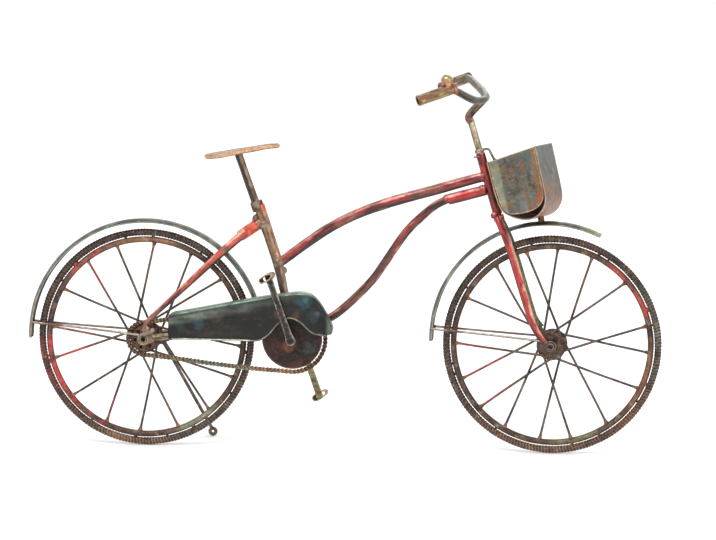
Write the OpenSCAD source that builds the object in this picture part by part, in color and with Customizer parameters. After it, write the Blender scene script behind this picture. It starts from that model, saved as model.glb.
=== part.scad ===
// Decorative bicycle, bent and brazed from metal wire, rod, tube and sheet.
// Millimetres. +X forward, +Y to the bicycle's left, +Z up.
// The bicycle is drawn upright with its wheels on z = 0 and its middle plane
// at y = 0, and stand() then leans it on its kickstand and puts the origin
// under the middle of the whole model.

/* [Wheels] */
// Outer radius of both wheels
wheel_r = 74; // [60:1:90]
// Distance between the two axles
wheelbase = 276; // [250:1:300]
// Thickness of the knurled tyre rod
tyre_d = 5; // [3:0.5:7]
// Thickness of the plain rim rod
rim_d = 3.8; // [2:0.2:5]
// Gap between tyre rod and rim rod, bridged by braze dots
rim_gap = 0.7; // [0.2:0.1:1.5]
// Thickness of a spoke
spoke_d = 1.7; // [1:0.1:2.5]
// Radius of a hub flange
flange_r = 10; // [8:0.5:12]
// Half of the width over the hub flanges
hub_half = 7; // [6:0.5:7.5]
// Outer diameter of the hollow axles
axle_d = 4.6; // [4:0.1:6]
// Inner diameter of the hollow axles
axle_bore = 3.0; // [1:0.1:3.4]

/* [Frame] */
// Angle of the head tube, back from upright
rake = 16.5; // [10:0.5:20]
// Length of the head tube
head_len = 43; // [30:1:50]
// Outer diameter of the head tube
head_d = 6.4; // [6.2:0.1:9]
// Diameter of the steerer rod
steerer_d = 4.6; // [4:0.1:5]
// Running clearance on every turning fit, on the radius
run_gap = 0.05; // [0.02:0.01:0.1]
// Diameter of the top tube
top_tube_d = 6.8; // [5:0.2:8]
// Diameter of the down tube
down_tube_d = 5.8; // [4:0.2:7]
// Length of the saddle
saddle_len = 52; // [40:1:60]
// Width of the saddle at its rear
saddle_w = 27; // [18:1:34]

/* [Drive] */
// Length of a crank from axle to pedal
crank_len = 45.5; // [38:0.5:48]
// Angle of the right crank, back from upright
crank_angle = 19.5; // [0:0.5:40]
// Radius of the chainring
ring_r = 20.5; // [18:0.1:20.8]
// Radius of the rear sprocket, inside its wrap of chain
sprocket_r = 8.9; // [8:0.1:9]
// Thickness of the chain
chain_t = 3.4; // [2.5:0.1:3.6]
// Position of the chain plane to the right of the middle
chain_y = 10.5; // [10:0.1:11]

/* [Handlebar] */
// Half of the distance between the front ends of the grips
bar_half = 51; // [40:0.5:60]
// Length of a grip
grip_len = 26; // [18:1:34]
// Outer diameter of a grip
grip_d = 7.2; // [6:0.1:9]
// Bore of a grip, open at both ends
grip_bore = 5.6; // [4:0.1:6]
// Radius of the bell's dome
bell_r = 4.2; // [3:0.1:6]

/* [Basket] */
// Width of the basket
basket_w = 38; // [30:1:42]
// Thickness of the basket's sheet
basket_t = 0.9; // [0.6:0.1:1.4]
// Turn of the basket to the right of straight ahead
basket_skew = 12; // [0:1:14]
// Roll of the basket, its right side up
basket_roll = 4.4; // [0:0.2:6]

/* [Stand] */
// Lean of the bicycle to its left, onto the kickstand
lean = 2.5; // [2:0.1:5]
// Distance of the kickstand's foot from the middle plane
foot_y = 36; // [30:1:45]
// Thickness of the kickstand's wire
stand_d = 2.4; // [2:0.1:3]

/* [Hidden] */
$fn = 48;

// Place of the origin: under the middle of the leaning model
origin_x = -3.2;
origin_y = 10.7;

front_x = wheelbase/2;
rear_x = -wheelbase/2;
tyre_c = wheel_r - tyre_d/2;
rim_c = wheel_r - tyre_d - rim_gap - rim_d/2;
rim_in = rim_c - rim_d/2;
hub_bore = axle_d + 2*run_gap;
axle_half = 13.6;
bb = [-37, 75.8];
bb_d = 9;
crank_axle_d = 5;
crank_y = 20;
fender_r = 81;
fender_half = 5.5;
guard_y = 17;

// Middle of the head tube, on the steering axis
head_mid = [94.6, 0, 181.8];
steer_dir = [-sin(rake), 0, cos(rake)];

// Points of the tubes: x, y, z and radius
top_path = [[-50,0,124,3.0], [-43,0,129,3.3], [-29,0,139.5,3.4], [-12,0,151,3.4], [5,0,159.8,3.4],
            [22,0,166.4,3.6], [39,0,171.8,3.6], [56,0,176.6,3.6], [72.5,0,181.6,3.6], [90,0,186.6,3.4]];
down_path = [[71,0,172.6,2.7], [59.2,0,167.2,2.8], [48,0,157.8,2.9], [39,0,148.5,2.9], [31,0,137.2,2.9],
             [24.3,0,127,2.9], [17,0,116.5,2.9], [5.5,0,104.2,2.9], [-5.7,0,94,2.9], [-15,0,87.8,2.8], [-34,0,77.4,2.7]];
seat_path = [[-61.2,0,165,3.7], [-56,0,149.5,3.7], [-48.5,0,126.5,3.5], [-43.6,0,105,2.9], [-38,0,79,2.8]];
right_stay = [[-70,-3.2,146.8,3.0], [-76,-5.6,141.8,2.9], [-86,-8.4,132.8,2.7], [-104,-10.8,115.8,2.2], [-122,-12.9,98.8,1.8], [-135.4,-13.9,86,1.5], [-137.6,-13.9,79,1.5]];
left_stay = [for (p = right_stay) [p[0], -p[1], p[2], p[3]]];
right_chain_path = [[-40,-3.6,75.8,1.8], [-52,-5.6,76,1.8], [-70,-8.4,76.2,1.8], [-92,-11.8,76.4,1.8], [-110,-14.1,76.4,1.8], [-132,-14.2,75.4,1.9]];
left_chain_path = [[-40,3.6,75.8,1.8], [-52,5.6,76,1.8], [-70,8.2,76.2,1.7], [-92,10.8,76.4,1.6], [-112,12.8,76.4,1.6], [-132,13.9,75.4,1.6]];
right_blade = [[100.6,-4.4,159.5,2.5], [104.2,-7.2,152.8,2.6], [110,-9,138.6,2.7], [118.2,-10,112,2.6], [125.8,-10.8,88.6,2.3], [131.8,-11.2,79,2], [135.6,-11.2,75.8,1.8]];
left_blade = [for (p = right_blade) [p[0], -p[1], p[2], p[3]]];
bar_path = [[73.1,-47.3,249.1,2.4], [77.2,-41,246.6,2.5], [82.2,-29,242.4,2.55], [86.6,-17,239.3,2.55], [90.6,-7,238.8,2.55], [92,0,240,2.55],
            [90.4,7.5,241.7,2.55], [87.2,17,243.9,2.55], [82,29,247,2.55], [77.6,40,249.2,2.5], [75.4,44.4,249.6,2.4]];
right_grip_front = [75, -bar_half, 249.8];
right_grip_dir = [-24, -10, -8.3];
left_grip_front = [76.6, bar_half - 3.6, 249.9];
left_grip_dir = [-20.5, 13, -8.3];
pivot = [-129.5, 69.6];
foot_x = -97.4;
foot_ring = 2;
foot_z = (foot_ring*cos(lean) + stand_d/2 + foot_y*sin(lean))/cos(lean);

// Angles at the rim where the spokes end, uneven as bent by hand, and the
// flange that each starts from: -1 right, 1 left
front_ends = [106, 87, 66, 41, 12, -4, -26, -55, -78, -97, -119, -138, -158, 180, 152, 126];
front_sides = [1, 1, -1, -1, 1, 1, -1, 1, -1, 1, -1, -1, 1, -1, -1, 1];
rear_ends = [108, 85, 62, 38, 16, -5, -24, -49, -70, -94, -115, -141, -166, 175, 151, 128];
rear_sides = [-1, -1, 1, 1, -1, 1, -1, 1, -1, 1, 1, -1, -1, 1, 1, -1];

// Basket outline in its own tilted frame: forward, up
basket_path = [[-5.2,33.2], [-4.6,18], [-3.4,5], [-1.4,-1.4], [3.2,-5.6], [9.8,-9.2], [16.4,-10.6], [22.8,-9], [27.8,-4.6], [30.4,1.6], [30.8,14], [30.6,36.8]];
panel_path = [[-4.2,33], [-3.6,18], [-2.2,4], [-0.2,-1.4], [3.8,-4.4], [10,-5.4], [17,-5.2], [23,-3.6], [27.4,0], [29.2,6], [29.4,18], [29.4,36.6]];
basket_at = [110.6, 0, 166.4];
basket_tilt = 14;

// Chain guard outline: x, z
guard_top = [[-120.6,75.2], [-121,84], [-119.8,91.6], [-108,94.6], [-96,97], [-84,99.4], [-72,101.8], [-58,104.5], [-48,106.2],
             [-38,107.7], [-30,108.2], [-24.4,106.8], [-19.2,102.4], [-14.6,95.8], [-10.8,89], [-9,84], [-9.8,79.8]];
guard_low = [[-15,79.4], [-21.4,80.2], [-26,83.2], [-30.6,87.6], [-35.5,90.2], [-41,89.8], [-46.5,86.6], [-51,81], [-55,76.4], [-60,74.8], [-78,74.8], [-100,75]];

function unit(v) = v/norm(v);
function v3(p) = [p[0], p[1], p[2]];

// Same route with every radius times k
function thick(p, k) = [for (q = p) [q[0], q[1], q[2], k*q[3]]];
function blendpt(a, b, c, d, t) = 0.5*(2*b + (c - a)*t + (2*a - 5*b + 4*c - d)*t*t + (3*b - a - 3*c + d)*t*t*t);
// A smooth path through points, with k steps between each two
function smooth(p, k) = concat(
  [for (i = [0:len(p)-2]) for (j = [0:k-1])
    blendpt(p[max(i-1,0)], p[i], p[i+1], p[min(i+2,len(p)-1)], j/k)],
  [p[len(p)-1]]);
function tangent(p, i) = unit(v3(p[min(i+1,len(p)-1)]) - v3(p[max(i-1,0)]));
// The points of a flat path, moved sideways by t
function shifted(p, t) = [for (i = [0:len(p)-1])
  let (d = p[min(i+1,len(p)-1)] - p[max(i-1,0)], n = [-d[1], d[0]]/norm(d)) p[i] + t*n];
function turned(p) = [for (i = [len(p)-1:-1:0]) p[i]];
// A thin strip of thickness t along a flat path
function strip(p, t) = concat(p, turned(shifted(p, t)));

// A round tube along a path of [x, y, z, radius], square to its start and end
module sweep(path, n = 14, up = [0,1,0]) {
  m = len(path);
  polyhedron(
    points = [for (i = [0:m-1]) let (t = tangent(path, i), u = unit(cross(up, t)), v = cross(t, u))
      for (a = [0:n-1]) v3(path[i]) + path[i][3]*(cos(360*a/n)*u + sin(360*a/n)*v)],
    faces = concat(
      [[for (a = [0:n-1]) a]],
      [for (i = [0:m-2]) for (a = [0:n-1]) let (b = (a+1)%n) [i*n+a, (i+1)*n+a, (i+1)*n+b, i*n+b]],
      [[for (a = [n-1:-1:0]) (m-1)*n+a]]));
}

// A straight rod between two points
module rod(a, b, r, fn = 24) {
  d = b - a;
  translate(a) rotate([0, acos(d[2]/norm(d)), atan2(d[1], d[0])]) cylinder(h = norm(d), r = r, $fn = fn);
}

// A cylinder across the bicycle from y0 to y1
module across(x, z, y0, y1, r) {
  translate([x, y1, z]) rotate([90, 0, 0]) cylinder(h = y1 - y0, r = r);
}

// A side outline, x and z, as a plate from y0 to y1
module plate(y0, y1) {
  translate([0, y1, 0]) rotate([90, 0, 0]) linear_extrude(y1 - y0) children();
}

module along_steering(s) {
  translate(head_mid + s*steer_dir) rotate([0, -rake, 0]) children();
}

module in_basket() {
  translate(basket_at) rotate([0, -basket_tilt, 0]) rotate([0, 0, -basket_skew]) rotate([-basket_roll, 0, 0]) children();
}

// Leans the whole bicycle and puts the origin under its middle
module stand() {
  translate([-origin_x, -origin_y, 0]) rotate([-lean, 0, 0]) children();
}

module ring(x, c, d) {
  translate([x, 0, wheel_r]) rotate([90, 0, 0]) rotate_extrude($fn = 96) translate([c, 0]) circle(d = d, $fn = 32);
}

module tyre(x) { ring(x, tyre_c, tyre_d); }

module rim(x) {
  ring(x, rim_c, rim_d);
  for (a = [12:45:359])
    translate([x, 0, wheel_r]) rotate([0, -a, 0]) translate([rim_c + rim_d/2 - 0.8, 0, 0]) rotate([0, 90, 0]) cylinder(h = rim_gap + 1.4, r = 0.9, $fn = 24);
}

// Spokes leave the outer and inner face of a flange in turn, to the two sides
module spokes(x, ends, sides) {
  for (i = [0:len(ends)-1]) {
    way = (i%2 == 0) ? -1 : 1;
    a = ends[i];
    b = a + way*48;
    y = sides[i]*(hub_half - 0.5 + way*(0.5 + spoke_d/2 - 0.2));
    rod([x + (flange_r - 1.2)*cos(b), y, wheel_r + (flange_r - 1.2)*sin(b)],
        [x + (rim_in + 0.9)*cos(a), sides[i]*0.9, wheel_r + (rim_in + 0.9)*sin(a)], spoke_d/2);
  }
}

module hub(x, right_end) {
  difference() {
    union() {
      across(x, wheel_r, -right_end, hub_half + 0.4, 4);
      across(x, wheel_r, -hub_half, -hub_half + 1, flange_r);
      across(x, wheel_r, hub_half - 1, hub_half, flange_r);
    }
    across(x, wheel_r, -20, 20, hub_bore/2);
  }
}

module axle(x, half) {
  difference() {
    across(x, wheel_r, -half, half, axle_d/2);
    across(x, wheel_r, -half - 1, half + 1, axle_bore/2);
  }
}

module fender(x, a0, a1) {
  n = 8;
  outer = [for (i = [-n:n]) let (s = i/n) [fender_r - 2.2*s*s, fender_half*s]];
  translate([x, 0, wheel_r]) rotate([90, 0, 0]) rotate([0, 0, a0]) rotate_extrude(angle = a1 - a0, $fn = 96)
    polygon(concat(outer, turned([for (p = outer) [p[0] - 0.7, p[1]*0.97]])));
}

// Head tube with its bore, and the tubes that meet it
module head_tube() color("firebrick") stand()
  difference() {
    along_steering(-head_len/2) cylinder(h = head_len, d = head_d);
    along_steering(-head_len/2 - 1) cylinder(h = head_len + 2, d = steerer_d + 2*run_gap);
  }

module head_cut() { along_steering(-head_len/2 - 4) cylinder(h = head_len + 8, d = head_d - 0.3); }

module top_tube() color("indianred") stand()
  difference() { sweep(thick(smooth(top_path, 3), top_tube_d/6.8), 16); head_cut(); }

module down_tube() color("brown") stand() sweep(thick(smooth(down_path, 3), down_tube_d/5.8), 16);

module down_tube_sleeve() color("firebrick") stand()
  difference() { rod([95,0,178.4], [67,0,170.8], 3.75, 32); head_cut(); }

module seat_tube() color("rosybrown") stand() sweep(smooth(seat_path, 4), 16);

module seat_clamp() color("saddlebrown") stand()
  union() {
    rod([-63.3,0,167.4], [-61.4,0,161], 4.3, 32);
    across(-63.8, 155.4, -3, 3, 1.8);
  }

module seat_post() color("dimgray") stand() rod([-75.9,0,201.2], [-61.5,0,161.2], 2.7, 32);

saddle_outline = smooth([[-26,0], [-24.8,6], [-20.8,11], [-14,13.4], [-6,12.4], [4,9], [14,5.6], [21,3.8], [24.8,2.2], [26,0]], 3);
module saddle() color("tan") stand()
  translate([-72.8, 0, 200]) rotate([0, -10, 0]) linear_extrude(3.2)
    polygon([for (p = concat(saddle_outline, turned([for (q = saddle_outline) [q[0], -q[1]]]))) [p[0]*saddle_len/52, p[1]*saddle_w/27]]);

module bottom_bracket() color("maroon") stand()
  difference() {
    across(bb[0], bb[1], -7.4, 7.4, bb_d/2);
    across(bb[0], bb[1], -8, 8, crank_axle_d/2 + run_gap);
  }

module seat_stay_sleeve() color("coral") stand() rod([-59.6,0,153.8], [-74.4,0,143.4], 3.9, 32);

// Flattened end that holds the axle
module dropout(y0, y1) {
  difference() {
    union() {
      across(rear_x, wheel_r, y0, y1, 4.2);
      plate(y0, y1) polygon([[rear_x-1, wheel_r-4], [rear_x+7, wheel_r-1.6], [rear_x+7, wheel_r+4], [rear_x+2, wheel_r+7], [rear_x-2, wheel_r+7]]);
    }
    across(rear_x, wheel_r, y0 - 1, y1 + 1, axle_d/2);
  }
}

module bb_cut() { across(bb[0], bb[1], -12, 12, bb_d/2 - 0.3); }

module right_seat_stay() color("indianred") stand() sweep(smooth(right_stay, 3), 12);
module left_seat_stay() color("dimgray") stand() sweep(smooth(left_stay, 3), 12);

module right_chain_stay() color("gray") stand() {
  dropout(-14.8, -13);
  difference() { sweep(smooth(right_chain_path, 3), 12); bb_cut(); }
}
module left_chain_stay() color("dimgray") stand() {
  dropout(13, 14.8);
  difference() { sweep(smooth(left_chain_path, 3), 12); bb_cut(); }
}

module rear_axle() color("gray") stand() axle(rear_x, 15.6);

module rear_fender() color("darkslategray") stand() fender(rear_x, 12, 181.8);

module rear_fender_stays() color("gray") stand()
  for (s = [-1, 1]) rod([-216.4, s*4.6, 83], [-141, s*13.9, 76.8], 0.8);

module chain_guard() color("darkslategray") stand() {
  edge = smooth(guard_top, 3);
  low = smooth(guard_low, 3);
  plate(-guard_y, -guard_y + 0.8) polygon(concat(edge, low));
  plate(-guard_y, -8.9) polygon(strip(edge, -0.9));
  rod([-45.4, -9.8, 105.2], [-44.4, -2.4, 105.2], 1.1);
  rod([-13.6, -9.8, 92.4], [-13.4, -2.2, 90], 1.1);
}

// Outline of the chain, at o outside its middle line
function chain_line(o) = concat(
  [for (a = [98:11:263]) [rear_x + (11 + o)*cos(a), wheel_r + (11 + o)*sin(a)]],
  [[-116,60.9 - o], [-93,58 - o], [-73,55.9 - o], [-58,54.6 - o]],
  [for (a = [-102:11:98]) [bb[0] + (22.6 + o)*cos(a), bb[1] + (22.6 + o)*sin(a)]]);
module chain() color("olive") stand()
  plate(-chain_y - chain_t/2, -chain_y + chain_t/2) difference() {
    polygon(chain_line(chain_t/2));
    polygon(chain_line(-chain_t/2));
  }

module kickstand_pivot() color("gray") stand() {
  rod([pivot[0], 13.6, 75.2], [pivot[0], 13.6, 69.4], 1.3);
  across(pivot[0], pivot[1], 12.6, 18.6, 1.2);
  across(pivot[0], pivot[1], 18.1, 18.9, 2);
}

module steerer() color("burlywood") stand() {
  along_steering(-head_len/2 - 4) cylinder(h = head_len/2 + 49.5, d = steerer_d);
  along_steering(head_len/2 + 0.4) cylinder(h = 2.4, d = 6.4);
}

module stem() color("dimgray") stand() sweep(smooth([[82.4,0,223,2.55], [80.6,0,226,2.6], [81.8,0,229,2.6], [85.2,0,233,2.6], [90.4,0,238,2.5]], 3), 14);

module handlebar() color("dimgray") stand() sweep(smooth(bar_path, 4), 14, [0.35,0,1]);

module grip(p, dir) {
  d = unit(dir);
  difference() {
    rod(p, p + grip_len*d, grip_d/2, 48);
    rod(p - d, p + (grip_len + 1)*d, grip_bore/2, 48);
  }
}
module right_grip() color("tan") stand() grip(right_grip_front, right_grip_dir);
module left_grip() color("tan") stand() grip(left_grip_front, left_grip_dir);

module bell() color("gold") stand()
  translate([70.8, -52.4, 255.2]) rotate([4, -14, 0]) intersection() {
    sphere(r = bell_r);
    translate([-6, -6, -0.6]) cube([12, 12, 8]);
  }
module bell_clamp() color("chocolate") stand() {
  difference() {
    rod([72, -51.8, 249.6], [70.8, -52.4, 255], 2.9, 32);
    rod([75, -51, 249.8], [51, -61, 241.5], grip_d/2, 48);
  }
}

module basket() color("slategray") stand() in_basket()
  plate(-basket_w/2, basket_w/2) polygon(strip(smooth(basket_path, 3), basket_t));
module side_panel(p) { plate(-0.4, 0.4) polygon(smooth(p, 3)); }
module basket_right_side() color("cadetblue") stand() in_basket() translate([0, -basket_w/2 + 1.2, 0]) side_panel(panel_path);
module basket_left_side() color("cadetblue") stand() in_basket() translate([0, basket_w/2 - 1.2, 0]) side_panel(basket_path);
module basket_strap() color("gray") stand() {
  rod([90, 0, 204.9], [94.6, 0, 205.2], 1.1);
  rod([94.2, 0, 205.4], [98.6, 0, 197.4], 1.1);
}

module fork_crown() color("firebrick") stand() {
  along_steering(-head_len/2 - 4.2) cylinder(h = 3.8, d = 7.4);
  rod([102, -6.2, 157.2], [102, 6.2, 157.2], 2.6, 32);
}
module blade(path, y0, y1) {
  difference() {
    union() {
      sweep(smooth(path, 3), 14);
      across(front_x, wheel_r, y0, y1, 3.8);
    }
    across(front_x, wheel_r, y0 - 1, y1 + 1, axle_d/2);
  }
}
module right_fork_blade() color("firebrick") stand() blade(right_blade, -12.4, -10);
module left_fork_blade() color("darkolivegreen") stand() blade(left_blade, 10, 12.4);
module front_axle() color("gray") stand() axle(front_x, axle_half);

module front_fender() color("darkslategray") stand() translate([-2.4, 0, 2.6]) fender(front_x, 64, 181.4);
module front_fender_stays() color("gray") stand() {
  rod([56, 4.6, 84.4], [134.4, 11.4, 78], 0.8);
  rod([56, -4.6, 83.6], [134.4, -11.4, 77.2], 0.8);
}

module front_tyre() color("dimgray") stand() tyre(front_x);
module front_rim() color("sienna") stand() rim(front_x);
module front_spokes() color("dimgray") stand() spokes(front_x, front_ends, front_sides);
module front_hub() color("dimgray") stand() hub(front_x, hub_half + 0.4);

module rear_tyre() color("dimgray") stand() tyre(rear_x);
module rear_rim() color("sienna") stand() rim(rear_x);
module rear_spokes() color("dimgray") stand() spokes(rear_x, rear_ends, rear_sides);
module rear_hub() color("dimgray") stand() hub(rear_x, 10);
module sprocket() color("dimgray") stand()
  difference() {
    across(rear_x, wheel_r, -11.2, -9.8, sprocket_r);
    across(rear_x, wheel_r, -12, -9, 3.6);
    for (a = [10:60:359])
      across(rear_x + 6.2*cos(a), wheel_r + 6.2*sin(a), -12, -9, 1);
  }

module chainring() color("saddlebrown") stand()
  difference() {
    across(bb[0], bb[1], -11.1, -9.9, ring_r);
    across(bb[0], bb[1], -12, -9, crank_axle_d/2);
  }
module crank_axle() color("gray") stand() across(bb[0], bb[1], -crank_y - 1.6, crank_y + 1.6, crank_axle_d/2);

// Middle of a pedal: s is -1 on the right and 1 on the left
function pedal_at(s) = [bb[0] + s*crank_len*sin(crank_angle), bb[1] - s*crank_len*cos(crank_angle)];
module crank(s) {
  p = pedal_at(s);
  y0 = (s < 0) ? -crank_y - 0.9 : crank_y - 0.9;
  difference() {
    union() {
      translate([bb[0], y0, bb[1]]) rotate([0, -crank_angle + (s < 0 ? 0 : 180), 0]) translate([-2.3, 0, 0]) cube([4.6, 1.8, crank_len]);
      across(bb[0], bb[1], y0, y0 + 1.8, 3.6);
      across(p[0], p[1], y0, y0 + 1.8, 2.3);
    }
    across(bb[0], bb[1], y0 - 1, y0 + 3, crank_axle_d/2);
  }
}
module right_crank() color("dimgray") stand() crank(-1);
module left_crank() color("olive") stand() crank(1);

// A pedal of flattened tube, open at both ends
module pedal(s) {
  p = pedal_at(s);
  y0 = (s < 0) ? -crank_y - 11.4 : crank_y + 0.9;
  translate([p[0], y0 + 10.5, p[1]]) rotate([0, -33, 0]) rotate([90, 0, 0]) linear_extrude(10.5) difference() {
    union() { square([5.6, 4.8], center = true); for (i = [-1, 1]) translate([i*2.8, 0]) circle(d = 4.8, $fn = 32); }
    union() { square([5.6, 3.2], center = true); for (i = [-1, 1]) translate([i*2.8, 0]) circle(d = 3.2, $fn = 32); }
  }
}
module right_pedal() color("rosybrown") stand() pedal(-1);
module left_pedal() color("rosybrown") stand() pedal(1);

module kickstand() color("dimgray") stand() {
  difference() {
    across(pivot[0], pivot[1], 15, 17.6, 2.8);
    across(pivot[0], pivot[1], 14, 18, 1.2 + run_gap);
  }
  rod([pivot[0] + 1.2, 16.3, pivot[1] - 2.2], [foot_x - 0.6, foot_y, foot_z + 1.9], stand_d/2);
  translate([foot_x, foot_y, foot_z]) rotate([90, 0, 0]) rotate_extrude($fn = 48) translate([foot_ring, 0]) circle(d = stand_d, $fn = 24);
}

head_tube();
top_tube();
down_tube();
down_tube_sleeve();
seat_tube();
seat_clamp();
seat_post();
saddle();
bottom_bracket();
seat_stay_sleeve();
right_seat_stay();
left_seat_stay();
right_chain_stay();
left_chain_stay();
rear_axle();
rear_fender();
rear_fender_stays();
chain_guard();
chain();
kickstand_pivot();
steerer();
stem();
handlebar();
right_grip();
left_grip();
bell();
bell_clamp();
basket();
basket_right_side();
basket_left_side();
basket_strap();
fork_crown();
right_fork_blade();
left_fork_blade();
front_axle();
front_fender();
front_fender_stays();
front_tyre();
front_rim();
front_spokes();
front_hub();
rear_tyre();
rear_rim();
rear_spokes();
rear_hub();
sprocket();
chainring();
crank_axle();
right_crank();
left_crank();
right_pedal();
left_pedal();
kickstand();
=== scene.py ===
import bmesh, bpy, math
import numpy as np
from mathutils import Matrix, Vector, geometry


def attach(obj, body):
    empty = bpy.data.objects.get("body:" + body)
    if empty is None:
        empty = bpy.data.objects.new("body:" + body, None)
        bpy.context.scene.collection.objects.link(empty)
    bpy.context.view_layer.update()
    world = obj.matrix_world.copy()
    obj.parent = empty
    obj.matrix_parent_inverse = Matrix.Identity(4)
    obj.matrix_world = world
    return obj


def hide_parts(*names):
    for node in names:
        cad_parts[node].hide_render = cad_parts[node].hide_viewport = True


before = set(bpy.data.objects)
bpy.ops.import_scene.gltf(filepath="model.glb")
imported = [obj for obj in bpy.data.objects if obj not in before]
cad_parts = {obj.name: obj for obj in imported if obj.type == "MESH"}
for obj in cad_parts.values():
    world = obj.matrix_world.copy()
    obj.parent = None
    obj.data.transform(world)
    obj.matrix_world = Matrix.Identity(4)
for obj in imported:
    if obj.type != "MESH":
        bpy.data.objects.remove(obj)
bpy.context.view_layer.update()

# ---------------------------------------------------------------- frame
# Points are in the upright bicycle's millimetres, as the solids are drawn:
# x forward, y to the left, z up, wheels on z = 0. W leans and shifts them.
LEAN = math.radians(2.5)
OX, OY = -3.2, 10.7
CL, SL = math.cos(LEAN), math.sin(LEAN)
FX, RX, WZ = 138.0, -138.0, 74.0
BBX, BBZ = -37.0, 75.8
RAKE = math.radians(16.5)
SDIR = np.array([-math.sin(RAKE), 0, math.cos(RAKE)])
HMID = np.array([94.6, 0, 181.8])


def W(P):
    P = np.asarray(P, float).reshape(-1, 3)
    x, y, z = P.T
    return np.stack([x - OX, y * CL + z * SL - OY, -y * SL + z * CL], 1) / 1000


# ---------------------------------------------------------------- noise
def _h(i, j, k, seed):
    h = (i.astype(np.uint64) * np.uint64(374761393) + j.astype(np.uint64) * np.uint64(668265263)
         + k.astype(np.uint64) * np.uint64(2246822519) + np.uint64(seed * 3266489917 + 97))
    h &= np.uint64(0xFFFFFFFF)
    h ^= h >> np.uint64(15)
    h = (h * np.uint64(2246822519)) & np.uint64(0xFFFFFFFF)
    h ^= h >> np.uint64(13)
    h = (h * np.uint64(3266489917)) & np.uint64(0xFFFFFFFF)
    h ^= h >> np.uint64(16)
    return h.astype(float) / 4294967295.0


def vn(P, size, seed=0):
    """Smooth noise, 0 to 1, with features of about size millimetres."""
    Q = np.asarray(P, float) / np.asarray(size, float) + 5000.37
    I = np.floor(Q)
    f = Q - I
    f = f * f * (3 - 2 * f)
    I = I.astype(np.int64)
    out = np.zeros(len(Q))
    for a in (0, 1):
        for b in (0, 1):
            for c in (0, 1):
                w = (f[:, 0] if a else 1 - f[:, 0]) * (f[:, 1] if b else 1 - f[:, 1]) * (f[:, 2] if c else 1 - f[:, 2])
                out += w * _h(I[:, 0] + a, I[:, 1] + b, I[:, 2] + c, seed)
    return out


def fbm(P, size, seed=0, octaves=4):
    """Layered noise about 0, roughly -1 to 1."""
    total, amp, norm = 0, 1.0, 0
    for o in range(octaves):
        total = total + amp * (vn(P, np.asarray(size, float) / 2 ** o, seed + 17 * o) - 0.5)
        norm += amp
        amp *= 0.55
    return total / norm * 2.6


def sm(a, b, x):
    t = np.clip((np.asarray(x, float) - a) / (b - a), 0, 1)
    return t * t * (3 - 2 * t)


def C(r, g, b):
    v = np.array([r, g, b], float) / 255
    return np.where(v <= 0.04045, v / 12.92, ((v + 0.055) / 1.055) ** 2.4)


def mix(a, b, t):
    t = np.clip(np.asarray(t, float), 0, 1).reshape(-1, 1)
    return np.asarray(a) * (1 - t) + np.asarray(b) * t


# ---------------------------------------------------------------- geometry
def smooth(p, k):
    """A smooth path through points, with k steps between each two."""
    p = np.asarray(p, float)
    out = []
    n = len(p)
    for i in range(n - 1):
        a, b, c, d = p[max(i - 1, 0)], p[i], p[i + 1], p[min(i + 2, n - 1)]
        for j in range(k):
            t = j / k
            out.append(0.5 * (2 * b + (c - a) * t + (2 * a - 5 * b + 4 * c - d) * t * t + (3 * b - a - 3 * c + d) * t ** 3))
    out.append(p[-1])
    return np.array(out)


def unit(v):
    v = np.asarray(v, float)
    return v / np.linalg.norm(v)


def resample(p, step):
    """The same line with points about step apart."""
    p = np.asarray(p, float)
    d = np.r_[0, np.cumsum(np.linalg.norm(np.diff(p[:, :3], axis=0), axis=1))]
    n = max(2, int(round(d[-1] / step)))
    s = np.linspace(0, d[-1], n + 1)
    return np.stack([np.interp(s, d, p[:, i]) for i in range(p.shape[1])], 1), s


def frames(c, up, closed=False):
    if closed:
        t = np.roll(c, -1, 0) - np.roll(c, 1, 0)
    else:
        t = np.gradient(c, axis=0)
    t /= np.linalg.norm(t, axis=1)[:, None]
    u = np.cross(np.asarray(up, float), t)
    u /= np.linalg.norm(u, axis=1)[:, None]
    return t, u, np.cross(t, u)


class Piece:
    """Vertices, faces and what the painter needs: st (along, round, across) and edge (mm from a sheet's edge)."""

    def __init__(self, V, F, st=None, edge=None):
        self.V = np.asarray(V, float).reshape(-1, 3)
        self.F = list(F)
        n = len(self.V)
        self.st = self.V.copy() if st is None else np.asarray(st, float).reshape(-1, 3)
        self.edge = np.full(n, 99.0) if edge is None else np.asarray(edge, float)

    def moved(self, f):
        self.V = f(self.V)
        return self


def join(*parts):
    V, F, st, e, o = [], [], [], [], 0
    for p in parts:
        V.append(p.V)
        st.append(p.st)
        e.append(p.edge)
        F += [tuple(i + o for i in f) for f in p.F]
        o += len(p.V)
    return Piece(np.vstack(V), F, np.vstack(st), np.concatenate(e))


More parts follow.
